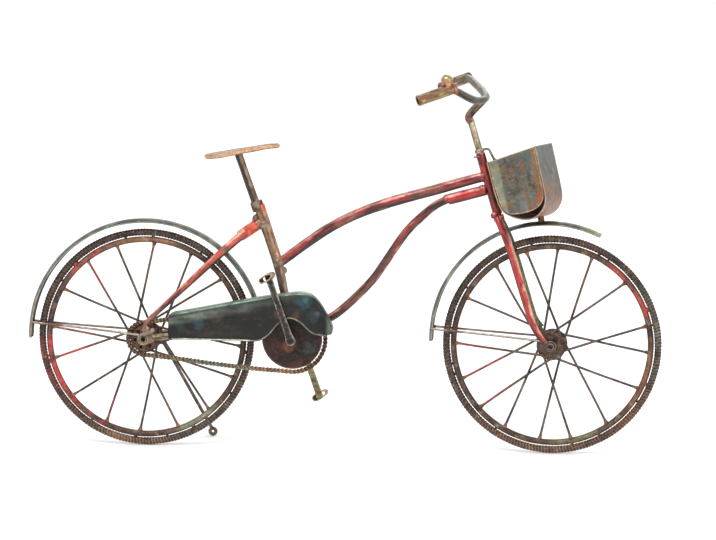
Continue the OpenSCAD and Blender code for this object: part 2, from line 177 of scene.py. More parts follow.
def tube(path, n=28, step=0.8, up=(0, 1, 0), rough=0.05, seed=1, flat=(1, 1), bevel=0.35, rad=None, dome=False):
    """A solid rod along [x, y, z, radius]. rough is the hand-made unevenness in mm, flat squeezes its section."""
    p, s = resample(path, step)
    c, r = p[:, :3], p[:, 3]
    t, u, v = frames(c, up)
    th = np.arange(n) * 2 * math.pi / n
    r2 = np.repeat(r[:, None], n, 1)
    if rad is not None:
        r2 = r2 + rad(s[:, None], th[None, :], s[-1])
    co, si = np.cos(th)[None, :, None], np.sin(th)[None, :, None]
    ring = co * u[:, None, :] * flat[0] + si * v[:, None, :] * flat[1]
    V = c[:, None, :] + r2[..., None] * ring
    if rough:
        flatV = V.reshape(-1, 3)
        d = rough * fbm(flatV, 9, seed) + rough * 0.45 * fbm(flatV, 2.6, seed + 3)
        V = V + d.reshape(V.shape[:2])[..., None] * ring
    st = np.stack([np.repeat(s[:, None], n, 1), r2 * np.cos(th), r2 * np.sin(th)], 2)
    rings, sts = [V[i] for i in range(len(V))], [st[i] for i in range(len(V))]

    def cap(i, sign):
        out = []
        steps = [(0.0, 1.0), (0.5, 0.93), (1.0, 0.75)] if not dome else [(0.38, 0.92), (0.71, 0.71), (0.92, 0.38)]
        b = bevel if not dome else r[i]
        for q, (a, k) in enumerate(steps[1:] if not dome else steps):
            kk = (1 - b / r[i] * (1 - k) * 2) if not dome else k
            w = c[i] + (V[i] - c[i]) * kk + sign * t[i] * b * a * (1 if not dome else 1)
            out.append((w, st[i] * np.array([1, kk, kk])))
        return out
    # rounded ends, kept within the path's length
    if not dome:
        rings[0] = rings[0] + t[0] * bevel
        rings[-1] = rings[-1] - t[-1] * bevel
    pre = [x for x in cap(0, -1)][::-1]
    post = cap(len(V) - 1, 1)
    if not dome:
        pre = [(w + t[0] * bevel, q) for w, q in pre]
        post = [(w - t[-1] * bevel, q) for w, q in post]
    rings = [w for w, _ in pre] + rings + [w for w, _ in post]
    sts = [q for _, q in pre] + sts + [q for _, q in post]
    m = len(rings)
    V = np.vstack(rings)
    S = np.vstack(sts)
    F = []
    for i in range(m - 1):
        for a in range(n):
            b = (a + 1) % n
            F.append((i * n + a, (i + 1) * n + a, (i + 1) * n + b, i * n + b))
    k0 = len(V)
    V = np.vstack([V, rings[0].mean(0), rings[-1].mean(0)])
    S = np.vstack([S, sts[0].mean(0), sts[-1].mean(0)])
    F += [(k0, a, (a + 1) % n) for a in range(n)]
    F += [(k0 + 1, (m - 1) * n + (a + 1) % n, (m - 1) * n + a) for a in range(n)]
    return Piece(V, F, S)


def rod(a, b, r, n=20, r2=None, **k):
    a, b = np.asarray(a, float), np.asarray(b, float)
    t = np.linspace(0, 1, 9)[:, None]
    r2 = r if r2 is None else r2
    up = k.pop("up", (0, 1, 0) if abs(unit(b - a)[1]) < 0.9 else (1, 0, 0))
    return tube(np.hstack([a + (b - a) * t, r + (r2 - r) * t]), n=n, up=up, **k)


def closed_tube(c, n, r, up, rad=None, st_s=None):
    """A rod bent into a ring through the points c."""
    t, u, v = frames(c, up, closed=True)
    m = len(c)
    th = np.arange(n) * 2 * math.pi / n
    s = st_s if st_s is not None else np.r_[0, np.cumsum(np.linalg.norm(np.diff(c, axis=0), axis=1))]
    r2 = np.full((m, n), float(r))
    if rad is not None:
        r2 = r2 + rad(s[:, None], th[None, :])
    V = c[:, None, :] + r2[..., None] * (np.cos(th)[None, :, None] * u[:, None, :] + np.sin(th)[None, :, None] * v[:, None, :])
    S = np.stack([np.repeat(s[:, None], n, 1), r2 * np.cos(th), r2 * np.sin(th)], 2)
    F = []
    for i in range(m):
        j = (i + 1) % m
        for a in range(n):
            b = (a + 1) % n
            F.append((i * n + a, j * n + a, j * n + b, i * n + b))
    return Piece(V.reshape(-1, 3), F, S.reshape(-1, 3))


def lathe(profile, x, z, n=72, closed=True):
    """A turned piece about the line along y through (x, z). profile is (radius, y), going round its section."""
    p = np.asarray(profile, float)
    m = len(p)
    a = np.arange(n) * 2 * math.pi / n
    V = np.stack([x + p[:, 0][:, None] * np.cos(a), np.repeat(p[:, 1][:, None], n, 1), z + p[:, 0][:, None] * np.sin(a)], 2)
    F = []
    for i in range(m if closed else m - 1):
        j = (i + 1) % m
        for q in range(n):
            w = (q + 1) % n
            F.append((i * n + q, i * n + w, j * n + w, j * n + q))
    V = V.reshape(-1, 3)
    return Piece(V, F, np.stack([V[:, 0], V[:, 2], V[:, 1]], 1))


def ring_profile(ri, ro, y0, y1, b=0.3, cuts=3):
    """The section of a washer with rounded edges."""
    P = []
    for cx, cy, a0 in ((ro - b, y1 - b, 0), (ri + b, y1 - b, 90), (ri + b, y0 + b, 180), (ro - b, y0 + b, 270)):
        if a0 == 180:
            P += [(r, y1) for r in []]
        for q in range(4):
            a = math.radians(a0 + 30 * q)
            P.append((cx + b * math.cos(a), cy + b * math.sin(a)))
    # more points along the long faces, so that paint can vary
    out = []
    for i in range(len(P)):
        p, q = np.array(P[i]), np.array(P[(i + 1) % len(P)])
        k = max(1, int(np.linalg.norm(q - p) / 1.2))
        out += [tuple(p + (q - p) * j / k) for j in range(k)]
    return out


def disc_profile(ro, y0, y1, b=0.3, bulge=0.0):
    P = [(0.02, y1 + bulge)] + [(ro * k, y1 + bulge * (1 - k * k)) for k in np.linspace(0.12, 0.9, 10)]
    P += [(ro - b, y1), (ro - b * 0.3, y1 - b * 0.3), (ro, y1 - b), (ro, y0 + b), (ro - b * 0.3, y0 + b * 0.3), (ro - b, y0)]
    P += [(ro * k, y0 - bulge * (1 - k * k)) for k in np.linspace(0.9, 0.12, 10)] + [(0.02, y0 - bulge)]
    return P[::-1]


def grid_solid(G, t, edge=None, closed=False, st=None):
    """A sheet of thickness t whose outer face is the grid G (m, n, 3), thickened against its normal."""
    m, n = G.shape[:2]
    du = np.gradient(G, axis=0) if not closed else (np.roll(G, -1, 0) - np.roll(G, 1, 0))
    dv = np.gradient(G, axis=1)
    N = np.cross(du, dv)
    N /= np.linalg.norm(N, axis=2)[..., None] + 1e-12
    inner = G - N * t
    # outer face and inner face one thickness in, joined by flat walls at the rims
    V = np.vstack([G.reshape(-1, 3), inner.reshape(-1, 3)])
    k = m * n
    F = []
    M = m if closed else m - 1
    for i in range(M):
        i2 = (i + 1) % m
        for j in range(n - 1):
            F.append((i * n + j, i2 * n + j, i2 * n + j + 1, i * n + j + 1))
            F.append((k + i * n + j, k + i * n + j + 1, k + i2 * n + j + 1, k + i2 * n + j))

    def wall(loop):
        for a, b in zip(loop[:-1], loop[1:]):
            F.append((a, k + a, k + b, b))
    if closed:
        wall([i * n for i in range(m)] + [0])
        wall([i * n + n - 1 for i in range(m)][::-1] + [(m - 1) * n + n - 1])
    else:
        wall([i * n for i in range(m)])
        wall([(m - 1) * n + j for j in range(n)])
        wall([i * n + n - 1 for i in range(m)][::-1])
        wall([j for j in range(n)][::-1])
    if st is None:
        a = np.linalg.norm(np.diff(G, axis=0), axis=2)
        b = np.linalg.norm(np.diff(G, axis=1), axis=2)
        A = np.vstack([np.zeros(n), np.cumsum(a, 0)])
        B = np.hstack([np.zeros((m, 1)), np.cumsum(b, 1)])
        A = np.repeat(A.mean(1)[:, None], n, 1)
        st = np.stack([A, B, np.zeros_like(A)], 2)
        if edge is None:
            e = np.minimum(B, B[:, -1:] - B)
            if not closed:
                e = np.minimum(e, np.minimum(A, A[-1:] - A))
            edge = e
    S = np.vstack([st.reshape(-1, 3), st.reshape(-1, 3) + np.array([0, 0, -t])])
    E = np.r_[edge.ravel(), edge.ravel()]
    return Piece(V, F, S, E)


def inside(P, loop):
    x, y = P[:, 0], P[:, 1]
    r = np.zeros(len(P), bool)
    for i in range(len(loop)):
        (x0, y0), (x1, y1) = loop[i], loop[(i + 1) % len(loop)]
        if y0 == y1:
            continue
        hit = (y > y0) != (y > y1)
        r ^= hit & (x < (x1 - x0) * (y - y0) / (y1 - y0) + x0)
    return r


def loop_gap(P, loop):
    d = np.full(len(P), 1e9)
    for i in range(len(loop)):
        a, b = np.array(loop[i]), np.array(loop[(i + 1) % len(loop)])
        ab = b - a
        t = np.clip(((P - a) @ ab) / max(ab @ ab, 1e-12), 0, 1)
        d = np.minimum(d, np.linalg.norm(P - (a + t[:, None] * ab), axis=1))
    return d


def loop_points(loop, h):
    out = []
    for i in range(len(loop)):
        a, b = np.array(loop[i], float), np.array(loop[(i + 1) % len(loop)], float)
        k = max(1, int(round(np.linalg.norm(b - a) / h)))
        out += [a + (b - a) * j / k for j in range(k)]
    return np.array(out)


def area(loop):
    x, y = np.array(loop).T
    return 0.5 * np.sum(x * np.roll(y, -1) - np.roll(x, -1) * y)


def cut_sheet(outline, t, place, h=0.8, holes=(), bevel=0.25, bulge=None):
    """A flat-cut sheet with rounded edges. place maps (u, v, w) to space, w from 0 at the outer face to -t."""
    loops = []
    for k, lp in enumerate([outline, *holes]):
        lp = loop_points(lp, h)
        a = area(lp)
        if (k == 0) != (a > 0):
            lp = lp[::-1]
        loops.append(lp)
    inset = []
    for lp in loops:
        d = np.roll(lp, -1, 0) - np.roll(lp, 1, 0)
        nrm = np.stack([-d[:, 1], d[:, 0]], 1)
        nrm /= np.linalg.norm(nrm, axis=1)[:, None] + 1e-9
        inset.append(lp + nrm * bevel)
    lo, hi = loops[0].min(0), loops[0].max(0)
    gx, gy = np.meshgrid(np.arange(lo[0], hi[0], h), np.arange(lo[1], hi[1], h * 0.87))
    gx = gx + (np.arange(gx.shape[0]) % 2)[:, None] * h / 2
    P = np.stack([gx.ravel(), gy.ravel()], 1)
    ok = inside(P, inset[0]) & (loop_gap(P, inset[0]) > 0.45 * h)
    for lp in inset[1:]:
        ok &= ~inside(P, lp) & (loop_gap(P, lp) > 0.45 * h)
    P = P[ok]
    pts = np.vstack(inset + [P])
    edges, o = [], 0
    for lp in inset:
        n = len(lp)
        edges += [(o + i, o + (i + 1) % n) for i in range(n)]
        o += n
    res = geometry.delaunay_2d_cdt([Vector(p) for p in pts], edges, [], 0, 1e-6)
    v2, f2, orig = np.array([tuple(v) for v in res[0]]), res[2], res[3]
    cen = np.array([v2[list(f)].mean(0) for f in f2])
    keep = inside(cen, inset[0])
    for lp in inset[1:]:
        keep &= ~inside(cen, lp)
    tri = [tuple(f) for f, k in zip(f2, keep) if k]
    where = {}
    for i, src in enumerate(orig):
        for s in src:
            where[s] = i
    e = np.min([loop_gap(v2, lp) for lp in loops], axis=0)
    nv = len(v2)
    b = (lambda uv: 0 * uv[:, 0]) if bulge is None else bulge
    top = np.column_stack([v2, b(v2)])
    bot = np.column_stack([v2, b(v2) - t])
    V, S, E = [top, bot], [top, bot], [e, e]
    F = [f if area(v2[list(f)]) > 0 else f[::-1] for f in tri]
    F = F + [tuple(i + nv for i in f[::-1]) for f in F]
    base, o = 2 * nv, 0
    for lp in loops:
        n = len(lp)
        up = np.column_stack([lp, b(lp) - bevel])
        dn = np.column_stack([lp, b(lp) - t + bevel])
        V += [up, dn]
        S += [up, dn]
        E += [np.zeros(n), np.zeros(n)]
        for i in range(n):
            j = (i + 1) % n
            a0, a1 = where[o + i], where[o + j]
            F.append((a0, base + i, base + j, a1))
            F.append((base + i, base + n + i, base + n + j, base + j))
            F.append((base + n + i, nv + a0, nv + a1, base + n + j))
        base += 2 * n
        o += n
    V = np.vstack(V)
    return Piece(place(V), F, np.vstack(S), np.concatenate(E))


def blob(c, r, seed, n=14, lump=0.16, d=None):
    """A lump of solder or braze. r is one radius or three, d turns its long axis."""
    r = np.full(3, float(r)) if np.isscalar(r) else np.asarray(r, float)
    m = max(5, n // 2)
    V, F = [(0, 0, 1)], []
    for i in range(1, m):
        a = math.pi * i / m
        for j in range(n):
            b = 2 * math.pi * j / n
            V.append((math.sin(a) * math.cos(b), math.sin(a) * math.sin(b), math.cos(a)))
    V.append((0, 0, -1))
    V = np.array(V)
    k = 1 + lump * fbm(V + seed * 3.7, 0.9, seed, 3)
    V = V * k[:, None] * r
    for j in range(n):
        F.append((0, 1 + j, 1 + (j + 1) % n))
        F.append((len(V) - 1, 1 + (m - 2) * n + (j + 1) % n, 1 + (m - 2) * n + j))
    for i in range(m - 2):
        for j in range(n):
            a, b = 1 + i * n + j, 1 + i * n + (j + 1) % n
            F.append((a, a + n, b + n, b))
    if d is not None:
        w = unit(d)
        u = unit(np.cross([0.3, 1, 0.2], w))
        V = V @ np.stack([u, np.cross(w, u), w])
    return Piece(V + np.asarray(c, float), F, V)


def cone(a, b, r0, r1, seed, n=12):
    """A solder cone from a, radius r0, to b, radius r1."""
    a, b = np.asarray(a, float), np.asarray(b, float)
    t = np.linspace(0, 1, 7)[:, None]
    rr = r0 + (r1 - r0) * (1 - (1 - t) ** 1.7)
    return tube(np.hstack([a + (b - a) * t, rr]), n=n, step=0.35, up=(0.12, 1, 0.05), rough=0.1, seed=seed, bevel=0.1)


# ---------------------------------------------------------------- colours
RED, PINK, CORAL, MAROON = C(136, 38, 37), C(206, 122, 112), C(188, 80, 64), C(66, 22, 22)
DARK, BLACK, BROWN, TAN = C(50, 42, 37), C(30, 26, 24), C(98, 66, 46), C(162, 120, 84)
RUST, ORANGE, OCHRE = C(134, 72, 40), C(172, 92, 50), C(150, 108, 56)
GREYG, TEAL, LTEAL, OLIVE = C(98, 104, 90), C(52, 92, 94), C(100, 132, 126), C(108, 104, 68)
STEEL, GOLD, PALE = C(132, 122, 108), C(196, 172, 118), C(196, 190, 160)


class Paint:
    """Colour, metalness, roughness and rust at each vertex, laid on in coats."""

    def __init__(self, piece, N, base, metal=0.6, rough=0.45, rust=0.0):
        self.P, self.N, self.q = piece.V, N, piece
        n = len(self.P)
        self.c = np.tile(np.asarray(base, float), (n, 1))
        self.m, self.r, self.u = np.full(n, float(metal)), np.full(n, float(rough)), np.full(n, float(rust))

    def coat(self, col, t, metal=None, rough=None, rust=None):
        t = np.clip(np.asarray(t, float), 0, 1)
        self.c = mix(self.c, col, t)
        for k, v in (("m", metal), ("r", rough), ("u", rust)):
            if v is not None:
                setattr(self, k, getattr(self, k) * (1 - t) + v * t)
        return self

    def patches(self, col, size, seed, cover=0.5, soft=0.18, amount=1.0, metal=None, rough=None, rust=None, octaves=4):
        f = fbm(self.P, size, seed, octaves)
        lim = 0.75 - 1.5 * cover
        return self.coat(col, amount * sm(lim - soft, lim + soft, f), metal, rough, rust)

    def streaks(self, col, size, seed, cover=0.5, soft=0.2, amount=1.0, metal=None, rough=None, rust=None, long=7):
        f = fbm(self.q.st / np.array([long, 1, 1]), size, seed, 4)
        lim = 0.75 - 1.5 * cover
        return self.coat(col, amount * sm(lim - soft, lim + soft, f), metal, rough, rust)

    def spot(self, col, x, z, r, seed=0, amount=1.0, ragged=0.5, metal=None, rough=None, rust=None, y=None):
        d = np.hypot(self.P[:, 0] - x, self.P[:, 2] - z) / r
        if y is not None:
            d = np.hypot(d, (self.P[:, 1] - y) / r)
        d = d + ragged * 0.5 * fbm(self.P, r * 0.6, seed + 5, 4)
        return self.coat(col, amount * sm(1.1, 0.6, d), metal, rough, rust)

    def edges(self, col, w, seed=0, amount=1.0, metal=None, rough=None):
        e = self.q.edge + w * 0.6 * fbm(self.P, w * 2.5, seed + 9, 3)
        return self.coat(col, amount * sm(w, w * 0.3, e), metal, rough)

    def facing(self, col, d, a, b, seed=0, ragged=0.25, size=5, amount=1.0, metal=None, rough=None, rust=None):
        f = self.N @ unit(d) + ragged * fbm(self.P, size, seed + 13, 4)
        return self.coat(col, amount * sm(a, b, f), metal, rough, rust)


# ---------------------------------------------------------------- materials
MATS = {}


def surface(name, grain=420, streak=0.0, mottle=0.35, pits=0.3, rust_col=RUST, dark_col=BLACK, coat=0.25, bump=0.00012,
            fine=2600, speck=0.35, spec=0.5, coat_rough=0.25, attrs=True, base=None, metal=0.5, rough=0.5, wear_col=None):
    """An aged metal finish. The vertex colours give the large patches, and the nodes give grain, streaks, pits and rust."""
    if name in MATS:
        return MATS[name]
    mat = bpy.data.materials.new(name)
    mat.use_nodes = True
    nt = mat.node_tree
    nt.nodes.clear()
    N, L = nt.nodes.new, nt.links.new

    def math_(op, a, b=None, clamp=False):
        n = N("ShaderNodeMath")
        n.operation, n.use_clamp = op, clamp
        for i, v in enumerate((a, b)):
            if v is None:
                continue
            if hasattr(v, "links"):
                L(v, n.inputs[i])
            else:
                n.inputs[i].default_value = v
        return n.outputs[0]

    def ramp(v, a, b, lo=0.0, hi=1.0):
        n = N("ShaderNodeMapRange")
        n.interpolation_type = "SMOOTHSTEP"
        L(v, n.inputs["Value"])
        n.inputs["From Min"].default_value, n.inputs["From Max"].default_value = a, b
        n.inputs["To Min"].default_value, n.inputs["To Max"].default_value = lo, hi
        return n.outputs[0]

    def noise(vec, scale, detail=4.0, roughness=0.55, dist=0.0):
        n = N("ShaderNodeTexNoise")
        n.inputs["Scale"].default_value, n.inputs["Detail"].default_value = scale, detail
        n.inputs["Roughness"].default_value, n.inputs["Distortion"].default_value = roughness, dist
        L(vec, n.inputs["Vector"])
        return n.outputs["Fac"]

    def mixc(fac, a, b, mode="MIX"):
        n = N("ShaderNodeMix")
        n.data_type, n.blend_type, n.clamp_factor = "RGBA", mode, True
        for v, i in ((fac, 0), (a, 6), (b, 7)):
            if hasattr(v, "links"):
                L(v, n.inputs[i])
            elif i == 0:
                n.inputs[i].default_value = v
            else:
                n.inputs[i].default_value = (*v, 1)
        return n.outputs[2]

    tc = N("ShaderNodeTexCoord").outputs["Object"]
    if attrs:
        ac, am, ast = N("ShaderNodeAttribute"), N("ShaderNodeAttribute"), N("ShaderNodeAttribute")
        ac.attribute_name, am.attribute_name, ast.attribute_name = "col", "mrr", "st"
        sep = N("ShaderNodeSeparateColor")
        L(am.outputs["Color"], sep.inputs[0])
        col, met, rgh, rst = ac.outputs["Color"], sep.outputs[0], sep.outputs[1], sep.outputs[2]
        st = ast.outputs["Vector"]
    else:
        n = N("ShaderNodeRGB")
        n.outputs[0].default_value = (*base, 1)
        col, met, rgh, rst, st = n.outputs[0], None, None, None, tc
    n1 = noise(tc, grain, 5, 0.6)
    n2 = noise(tc, grain * 3.1, 4, 0.65, 0.4)
    n3 = noise(tc, fine, 3, 0.6)
    # value mottling
    v = mixc(ramp(n1, 0.3, 0.72), (1 - mottle,) * 3, (1 + mottle,) * 3)
    col = mixc(1.0, col, v, "MULTIPLY")
    if streak:
        mp = N("ShaderNodeMapping")
        mp.inputs["Scale"].default_value = (0.06, 1, 1)
        L(st, mp.inputs["Vector"])
        s1 = noise(mp.outputs[0], 2.2, 4, 0.6)
        v = mixc(ramp(s1, 0.3, 0.7), (1 - streak,) * 3, (1 + streak,) * 3)
        col = mixc(1.0, col, v, "MULTIPLY")
    # dark grime in the pits, and rust specks
    pit = ramp(n2, 0.40, 0.30)
    pit = math_("MULTIPLY", pit, pits)
    col = mixc(pit, col, tuple(dark_col))
    sp = ramp(noise(tc, grain * 1.9, 5, 0.7, 0.8), 0.60, 0.70)
    if rst is not None:
        bias = math_("MULTIPLY", rst, 0.30)
        sp = ramp(math_("ADD", noise(tc, grain * 1.9, 5, 0.7, 0.8), bias), 0.60, 0.72)
    spk = math_("MULTIPLY", sp, speck)
    col = mixc(spk, col, tuple(rust_col))
    if wear_col is not None:
        w = ramp(noise(tc, grain * 2.6, 5, 0.75, 1.2), 0.63, 0.70, 0, 0.55)
        col = mixc(w, col, tuple(wear_col))
    out, b = N("ShaderNodeOutputMaterial"), N("ShaderNodeBsdfPrincipled")
    L(col, b.inputs["Base Color"])
    if met is not None:
        L(math_("SUBTRACT", met, math_("MULTIPLY", spk, 0.35), True), b.inputs["Metallic"])
        r = math_("ADD", rgh, math_("MULTIPLY", math_("SUBTRACT", n2, 0.5), 0.28))
        L(math_("ADD", r, math_("MULTIPLY", spk, 0.25), True), b.inputs["Roughness"])
    else:
        b.inputs["Metallic"].default_value = metal
        r = math_("ADD", math_("MULTIPLY", math_("SUBTRACT", n2, 0.5), 0.28), rough)
        L(math_("ADD", r, math_("MULTIPLY", spk, 0.25), True), b.inputs["Roughness"])
    b.inputs["Specular IOR Level"].default_value = spec
    b.inputs["Coat Weight"].default_value = coat
    b.inputs["Coat Roughness"].default_value = coat_rough
    hgt = math_("ADD", math_("MULTIPLY", n2, 0.7), math_("MULTIPLY", n3, 0.3))
    hgt = math_("SUBTRACT", hgt, math_("MULTIPLY", pit, 0.5))
    hgt = math_("ADD", hgt, math_("MULTIPLY", spk, 0.4))
    bp = N("ShaderNodeBump")
    bp.inputs["Strength"].default_value = 0.6
    bp.inputs["Distance"].default_value = bump
    L(hgt, bp.inputs["Height"])
    L(bp.outputs[0], b.inputs["Normal"])
    L(b.outputs[0], out.inputs[0])
    MATS[name] = mat
    return mat


def red_metal():
    return surface("worn_red_over_dark_metal", grain=260, streak=0.22, mottle=0.24, pits=0.45, dark_col=C(36, 24, 22), rust_col=C(120, 62, 40), speck=0.3, coat=0.35, bump=0.00010)


def rust_metal():
    return surface("dark_rusted_metal", grain=380, streak=0.25, mottle=0.38, pits=0.5, rust_col=C(142, 82, 48), speck=0.5, coat=0.12, bump=0.00022)


def bare_metal():
    return surface("browned_bare_steel", grain=420, streak=0.3, mottle=0.3, pits=0.4, rust_col=C(122, 78, 50), speck=0.35, coat=0.2, bump=0.00010)


def brass_metal():
    return surface("dull_brassy_tube", grain=300, streak=0.38, mottle=0.28, pits=0.4, dark_col=C(58, 40, 28), rust_col=C(128, 86, 54), speck=0.35, coat=0.25, bump=0.00012)


def sheet_metal():
    return surface("heat_blued_sheet", grain=150, streak=0.18, mottle=0.3, pits=0.35, dark_col=C(14, 14, 13), rust_col=C(84, 56, 36), speck=0.28, coat=0.16, bump=0.00012, spec=0.35, coat_rough=0.2)


def patina_metal():
    return surface("patina_sheet", grain=230, streak=0.14, mottle=0.22, pits=0.3, dark_col=C(52, 46, 38), rust_col=C(150, 84, 44), speck=0.4, coat=0.2, bump=0.00016)


def saddle_metal():
    return surface("tan_rusted_sheet", grain=260, streak=0.4, mottle=0.24, pits=0.35, dark_col=C(92, 62, 44), rust_col=C(166, 92, 54), speck=0.5, coat=0.12, bump=0.00016)


def knurl_metal():
    return surface("knurled_tyre_rod", grain=360, streak=0.0, mottle=0.42, pits=0.65, dark_col=C(24, 19, 17), rust_col=C(146, 96, 66), speck=0.4, coat=0.15, bump=0.00018)


def rope_metal():
    return surface("twisted_chain_wire", grain=420, streak=0.0, mottle=0.3, pits=0.5, dark_col=C(46, 36, 26), rust_col=C(160, 98, 56), speck=0.4, coat=0.2, bump=0.00010)


def braze_metal():
    return surface("copper_braze", grain=500, streak=0.0, mottle=0.3, pits=0.4, dark_col=C(70, 44, 36), rust_col=C(150, 88, 60), speck=0.3, coat=0.25, bump=0.00015)


def bell_metal():
    return surface("polished_bell_brass", grain=300, streak=0.0, mottle=0.14, pits=0.12, dark_col=C(96, 74, 40), rust_col=C(170, 126, 76), speck=0.12, coat=0.3, bump=0.00003)


# ---------------------------------------------------------------- making pieces
def make(name, piece, body, nodes, mat, paint, angle=38):
    me = bpy.data.meshes.new(name)
    me.from_pydata(W(piece.V).tolist(), [], piece.F)
    me.update()
    bm = bmesh.new()
    bm.from_mesh(me)
    bmesh.ops.recalc_face_normals(bm, faces=bm.faces)
    bm.to_mesh(me)
    bm.free()
    ob = bpy.data.objects.new(name, me)
    bpy.context.scene.collection.objects.link(ob)
    n = len(me.vertices)
    N = np.zeros(n * 3)
    me.vertices.foreach_get("normal", N)
    N = N.reshape(-1, 3)
    pt = paint(piece, N)
    col = me.attributes.new("col", "FLOAT_COLOR", "POINT")
    col.data.foreach_set("color", np.column_stack([np.clip(pt.c, 0, 1), np.ones(n)]).astype(np.float32).ravel())
    mr = me.attributes.new("mrr", "FLOAT_COLOR", "POINT")
    mr.data.foreach_set("color", np.column_stack([np.clip(pt.m, 0, 1), np.clip(pt.r, 0.05, 1), np.clip(pt.u, 0, 1), np.ones(n)]).astype(np.float32).ravel())
    st = me.attributes.new("st", "FLOAT_VECTOR", "POINT")
    st.data.foreach_set("vector", piece.st.astype(np.float32).ravel())
    me.polygons.foreach_set("use_smooth", [True] * len(me.polygons))
    me.set_sharp_from_angle(angle=math.radians(angle))
    me.materials.append(mat)
    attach(ob, body)
    if nodes:
        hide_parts(*nodes)
    return ob


# ---------------------------------------------------------------- wheels
FRONT_ENDS = [106, 87, 66, 41, 12, -4, -26, -55, -78, -97, -119, -138, -158, 180, 152, 126]
FRONT_SIDES = [1, 1, -1, -1, 1, 1, -1, 1, -1, 1, -1, -1, 1, -1, -1, 1]
REAR_ENDS = [108, 85, 62, 38, 16, -5, -24, -49, -70, -94, -115, -141, -166, 175, 151, 128]
REAR_SIDES = [-1, -1, 1, 1, -1, 1, -1, 1, -1, 1, 1, -1, -1, 1, 1, -1]
TYRE_C, RIM_C, RIM_IN = 71.5, 66.4, 64.5


def circle(x, c, m, y=0.0):
    a = np.arange(m) * 2 * math.pi / m
    return np.stack([x + c * np.cos(a), np.full(m, y), WZ + c * np.sin(a)], 1)


def tyre_piece(x, seed):
    bumps, per = 214, 8
    m = bumps * per
    c = circle(x, TYRE_C - 0.1, m)
    s = np.arange(m) * (2 * math.pi * TYRE_C / m)
    pitch = 2 * math.pi * TYRE_C / bumps

    def rad(s, th):
        ph = 2 * math.pi * s / pitch - 2 * th
        crest = 1 - np.abs(np.sin(ph / 2)) ** 0.8
        wob = 0.06 * np.sin(s * 0.05 + seed) + 0.05 * np.sin(s * 0.31 + 2 * seed)
        return -0.20 + 0.36 * crest * (1 + 4 * wob * 0.5) + 0.6 * wob
    p = closed_tube(c, 22, 2.42, (0, 1, 0), rad, s)
    d = fbm(p.V, 1.6, seed, 2) * 0.05
    nrm = p.V - np.repeat(c, 22, 0)
    p.V = p.V + nrm / (np.linalg.norm(nrm, axis=1)[:, None]) * d[:, None]
    return p


def tyre_paint(front):
    def f(q, N):
        x0 = FX if front else RX
        p = Paint(q, N, C(62, 49, 41), 0.5, 0.54, 0.3)
        r = np.hypot(q.st[:, 1], q.st[:, 2])
        a = np.degrees(np.arctan2(q.V[:, 2] - WZ, q.V[:, 0] - x0))
        p.patches(C(38, 32, 28), 11, 3 + front, 0.5)
        p.patches(C(92, 66, 50), 6, 13 + front, 0.26)
        p.patches(C(106, 110, 96), 5, 23 + front, 0.14, amount=0.8)
        if front:
            p.coat(C(98, 106, 92), sm(48, 20, np.abs(a + 2)) * sm(-0.6, 0.6, fbm(q.V, 5, 31)) * 0.75)
            p.coat(C(150, 112, 86), sm(52, 20, np.abs(a + 100)) * sm(-0.7, 0.5, fbm(q.V, 7, 32)) * 0.75)
            p.coat(C(140, 84, 52), sm(32, 8, np.abs(a + 40)) * sm(-0.5, 0.6, fbm(q.V, 6, 33)) * 0.6)
            p.coat(C(92, 62, 44), sm(60, 20, np.abs(a - 165)) * sm(-0.3, 0.6, fbm(q.V, 9, 34)) * 0.6)
        else:
            p.coat(C(44, 35, 30), sm(60, 25, np.abs(a - 150)) * 0.5)
            p.coat(C(158, 120, 92), sm(38, 12, np.abs(a + 92)) * sm(-0.7, 0.4, fbm(q.V, 7, 42)) * 0.8)
            p.coat(C(112, 104, 92), sm(40, 12, np.abs(a + 55)) * sm(-0.5, 0.5, fbm(q.V, 6, 43)) * 0.6)
            p.coat(C(154, 52, 50), sm(26, 8, np.abs(a + 166)) * sm(-0.6, 0.4, fbm(q.V, 5, 44)) * 0.85, rough=0.4)
            p.coat(C(130, 46, 44), sm(30, 10, np.abs(a + 138)) * sm(-0.2, 0.7, fbm(q.V, 6, 45)) * 0.6)
        # dark grooves between the ridges, and rubbed crests
        p.coat(C(24, 20, 18), sm(2.40, 2.24, r) * 0.8, metal=0.2, rough=0.75)
        p.coat(C(140, 122, 104), sm(2.48, 2.58, r) * 0.34, metal=0.85, rough=0.38)
        p.patches(C(176, 160, 140), 1.3, 33 + front, 0.07, amount=0.6)
        return p
    return f


def rim_piece(x, seed, dots):
    m = 560
    p = closed_tube(circle(x, RIM_C + 0.1, m), 20, 2.04, (0, 1, 0), lambda s, th: 0.03 * np.sin(s * 0.11 + seed) + 0.0 * th)
    p.V = p.V + 0.07 * np.stack([fbm(p.V, 7, seed + k, 3) for k in range(3)], 1)
    parts = [p]
    for k, a in enumerate(range(12, 360, 45)):
        a = math.radians(a)
        d = np.array([math.cos(a), 0, math.sin(a)])
        parts.append(blob(np.array([x, 0, WZ]) + d * (RIM_C + 2.25), (0.95, 1.25, 0.9), seed * 31 + k, n=12, d=(-d[2], 0, d[0])))
    for k, (a, r) in enumerate(dots):
        a = math.radians(a)
        d = np.array([math.cos(a), 0, math.sin(a)])
        parts.append(blob(np.array([x, -0.4, WZ]) + d * (RIM_C + 2.0), (r, r * 1.35, r * 1.1), seed * 37 + k, n=14, lump=0.22))
    return join(*parts)


